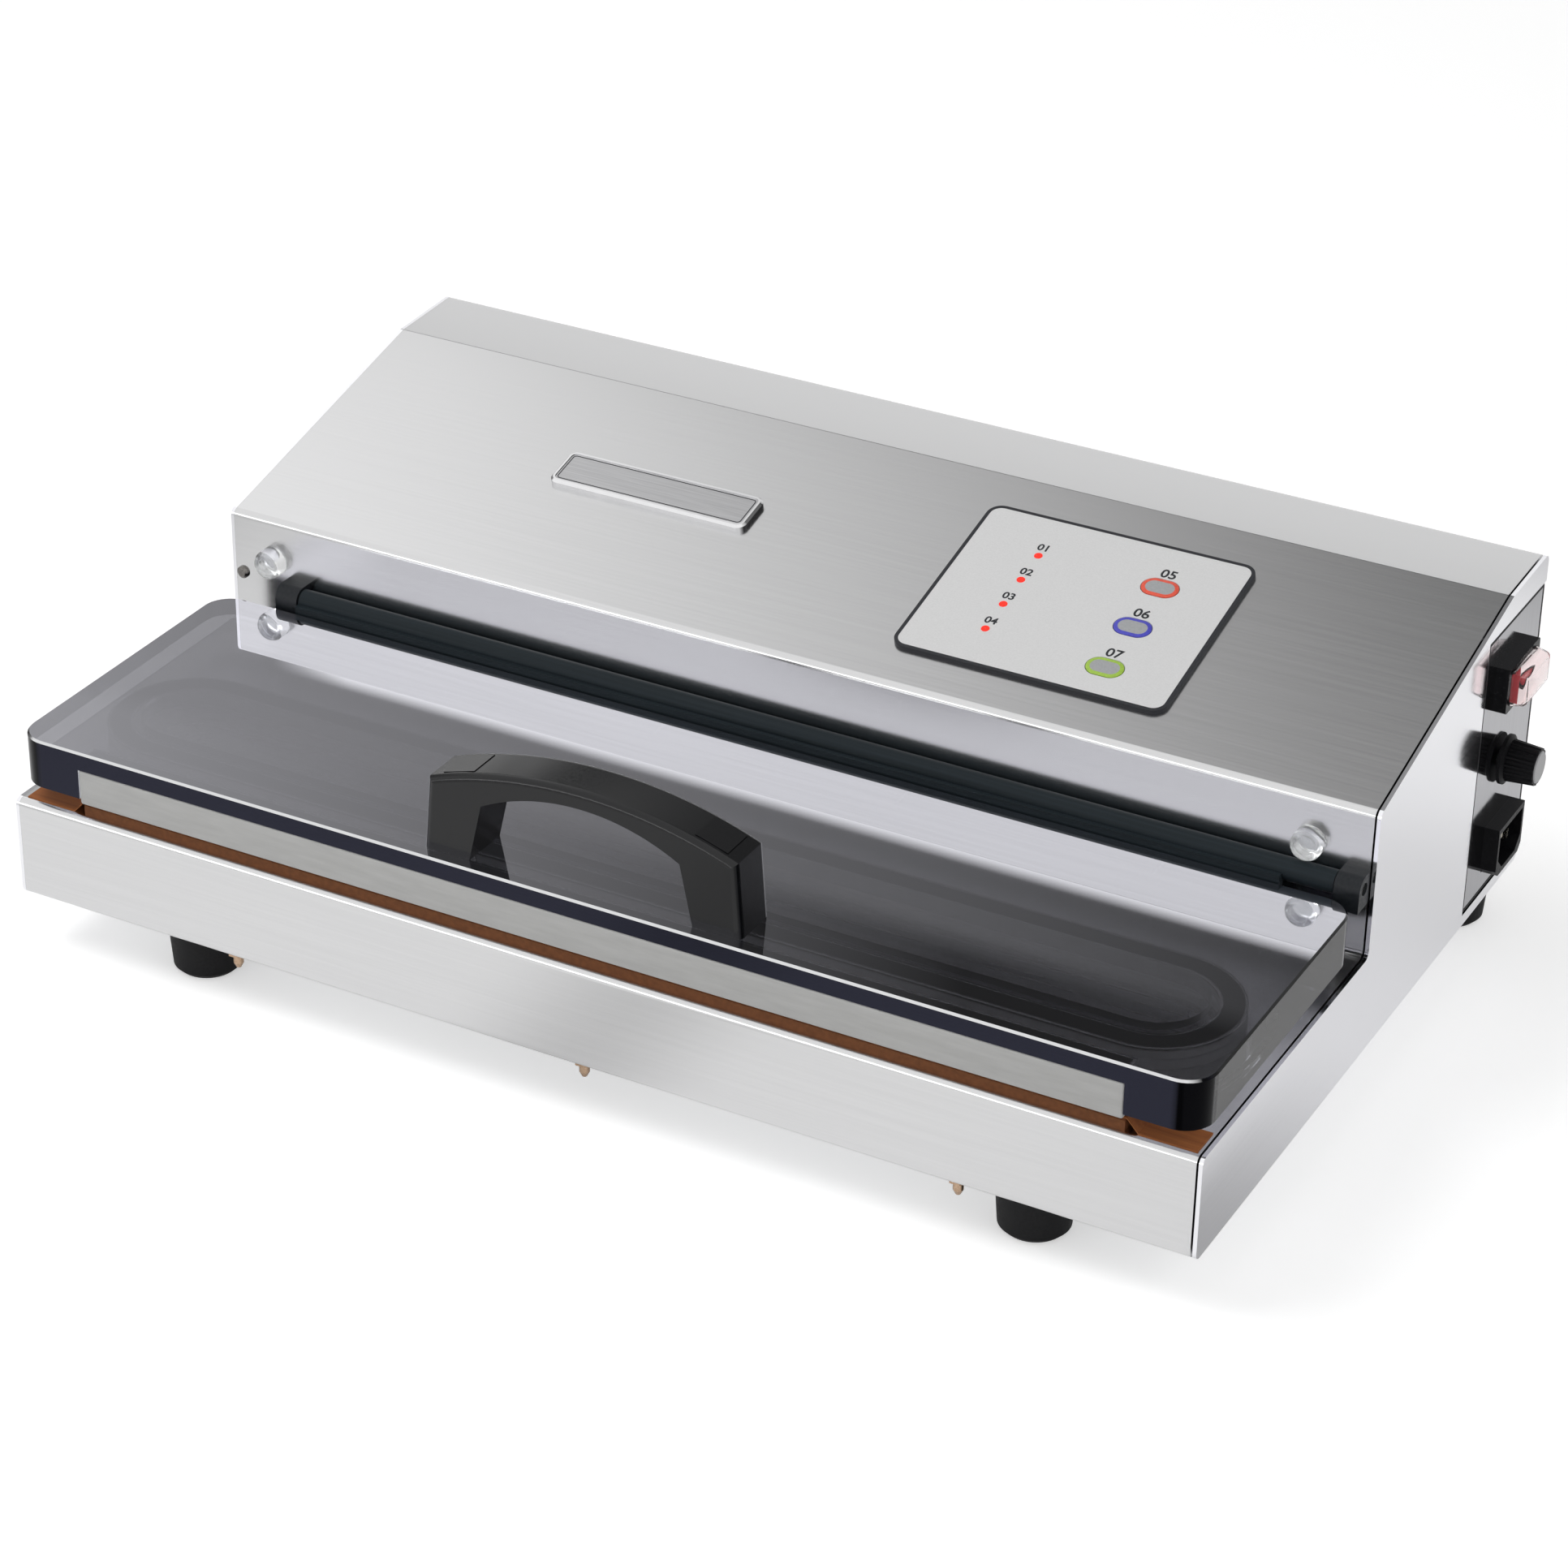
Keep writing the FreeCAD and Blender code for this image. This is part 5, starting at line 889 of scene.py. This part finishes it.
card_tree.links.new(card_tone, card_glow.inputs["Strength"])
card_tree.links.new(card_cover, card_fade.inputs["Fac"])
card_tree.links.new(card_gauze.outputs[0], card_fade.inputs[1])
card_tree.links.new(card_glow.outputs[0], card_fade.inputs[2])
card_tree.links.new(card_fade.outputs[0], card_out.inputs["Surface"])
card.data.materials.append(card_paint)
card.visible_camera = False
card.visible_diffuse = False
card.visible_shadow = False
card.visible_transmission = False


# Studio lamps: two large soft boxes, one high on the left and one lower on the right, and a low
# strip in front that draws a light line along every fold.

def soft_box(name, place, aim, size, watts):
    """A flat area lamp, so wide and so tall, turned towards a point."""
    bpy.ops.object.light_add(type="AREA", location=place)
    lamp = bpy.context.object
    lamp.name = name
    lamp.data.shape = "RECTANGLE"
    lamp.data.size, lamp.data.size_y = size
    lamp.data.energy = watts
    lamp.rotation_euler = (Vector(aim) - Vector(place)).to_track_quat("-Z", "Y").to_euler()
    return lamp


object_middle = (0, 0, 0.1)
key_box = soft_box("key_box", (-1.3, -0.7, 2.3), object_middle, (1.4, 1.4), 26.0)
fill_box = soft_box("fill_box", (1.7, -0.6, 1.3), object_middle, (1.2, 1.2), 7.0)
soft_box("front_strip", (-1.0, -2.1, 0.55), object_middle, (1.5, 0.35), 4.5)
for lamp in (key_box, fill_box):
    lamp.visible_glossy = False


# Room: white to the lens and a soft fill in the shadows. In mirrors its walls are white in front
# and overhead, and grey to the sides and behind.
room = bpy.data.worlds.new("white_room")
bpy.context.scene.world = room
room.use_nodes = True
room_tree = room.node_tree
room_tree.nodes.clear()
room_rays = room_tree.nodes.new("ShaderNodeLightPath").outputs
room_axes = tone_axes(room_tree, "Generated")
wall_grey, wall_white = 0.25, 1.0
room_wall = tone_ramp(room_tree, room_axes["Z"], 0.42, 0.72, wall_grey, wall_white, smooth=True)
room_front = tone_ramp(room_tree, room_axes["Y"], -0.25, 0.05, wall_white, wall_grey, smooth=True)
room_tone = tone_math(room_tree, "MAXIMUM", room_wall, room_front)
room_sight = tone_math(room_tree, "MAXIMUM", room_rays["Is Camera Ray"], room_rays["Is Transmission Ray"])


def room_light(strength):
    """White light from the room, of a fixed strength or one that a socket gives."""
    light = room_tree.nodes.new("ShaderNodeBackground")
    light.inputs["Color"].default_value = (1, 1, 1, 1)
    if isinstance(strength, float):
        light.inputs["Strength"].default_value = strength
    else:
        room_tree.links.new(strength, light.inputs["Strength"])
    return light.outputs[0]


def room_blend(share, first, second):
    """Two lights of the room mixed by a share."""
    mix = room_tree.nodes.new("ShaderNodeMixShader")
    for value, socket in zip((share, first, second), mix.inputs):
        room_tree.links.new(value, socket)
    return mix.outputs[0]


seen_white, soft_fill = 1.0, 0.38
room_mirrored = room_blend(room_rays["Is Glossy Ray"], room_light(soft_fill), room_light(room_tone))
room_out = room_tree.nodes.new("ShaderNodeOutputWorld")
room_mix = room_blend(room_sight, room_mirrored, room_light(seen_white))
room_tree.links.new(room_mix, room_out.inputs["Surface"])


# Camera: the photograph's place and angle, found from the housing's corners. It looks down from
# the front right with a long lens.
camera_place = Vector((0.6872, -1.30875, 0.90016))
camera_turn = math.radians(27.90)
camera_height = math.radians(29.47)
camera_roll = math.radians(0.97)
behind = Vector((
    math.sin(camera_turn) * math.cos(camera_height),
    -math.cos(camera_turn) * math.cos(camera_height),
    math.sin(camera_height),
))
level = Vector((math.cos(camera_turn), math.sin(camera_turn), 0))
upright = behind.cross(level)
right = level * math.cos(camera_roll) + upright * math.sin(camera_roll)
upright = upright * math.cos(camera_roll) - level * math.sin(camera_roll)
bpy.ops.object.camera_add()
camera = bpy.context.object
camera.name = "photo_camera"
camera.data.lens = 100.81
camera.data.sensor_width = 36.0
camera.data.clip_end = 50.0
turned = Matrix((right, upright, behind)).transposed().to_4x4()
camera.matrix_world = Matrix.Translation(camera_place) @ turned
bpy.context.scene.camera = camera
bpy.context.scene.view_settings.view_transform = "Standard"
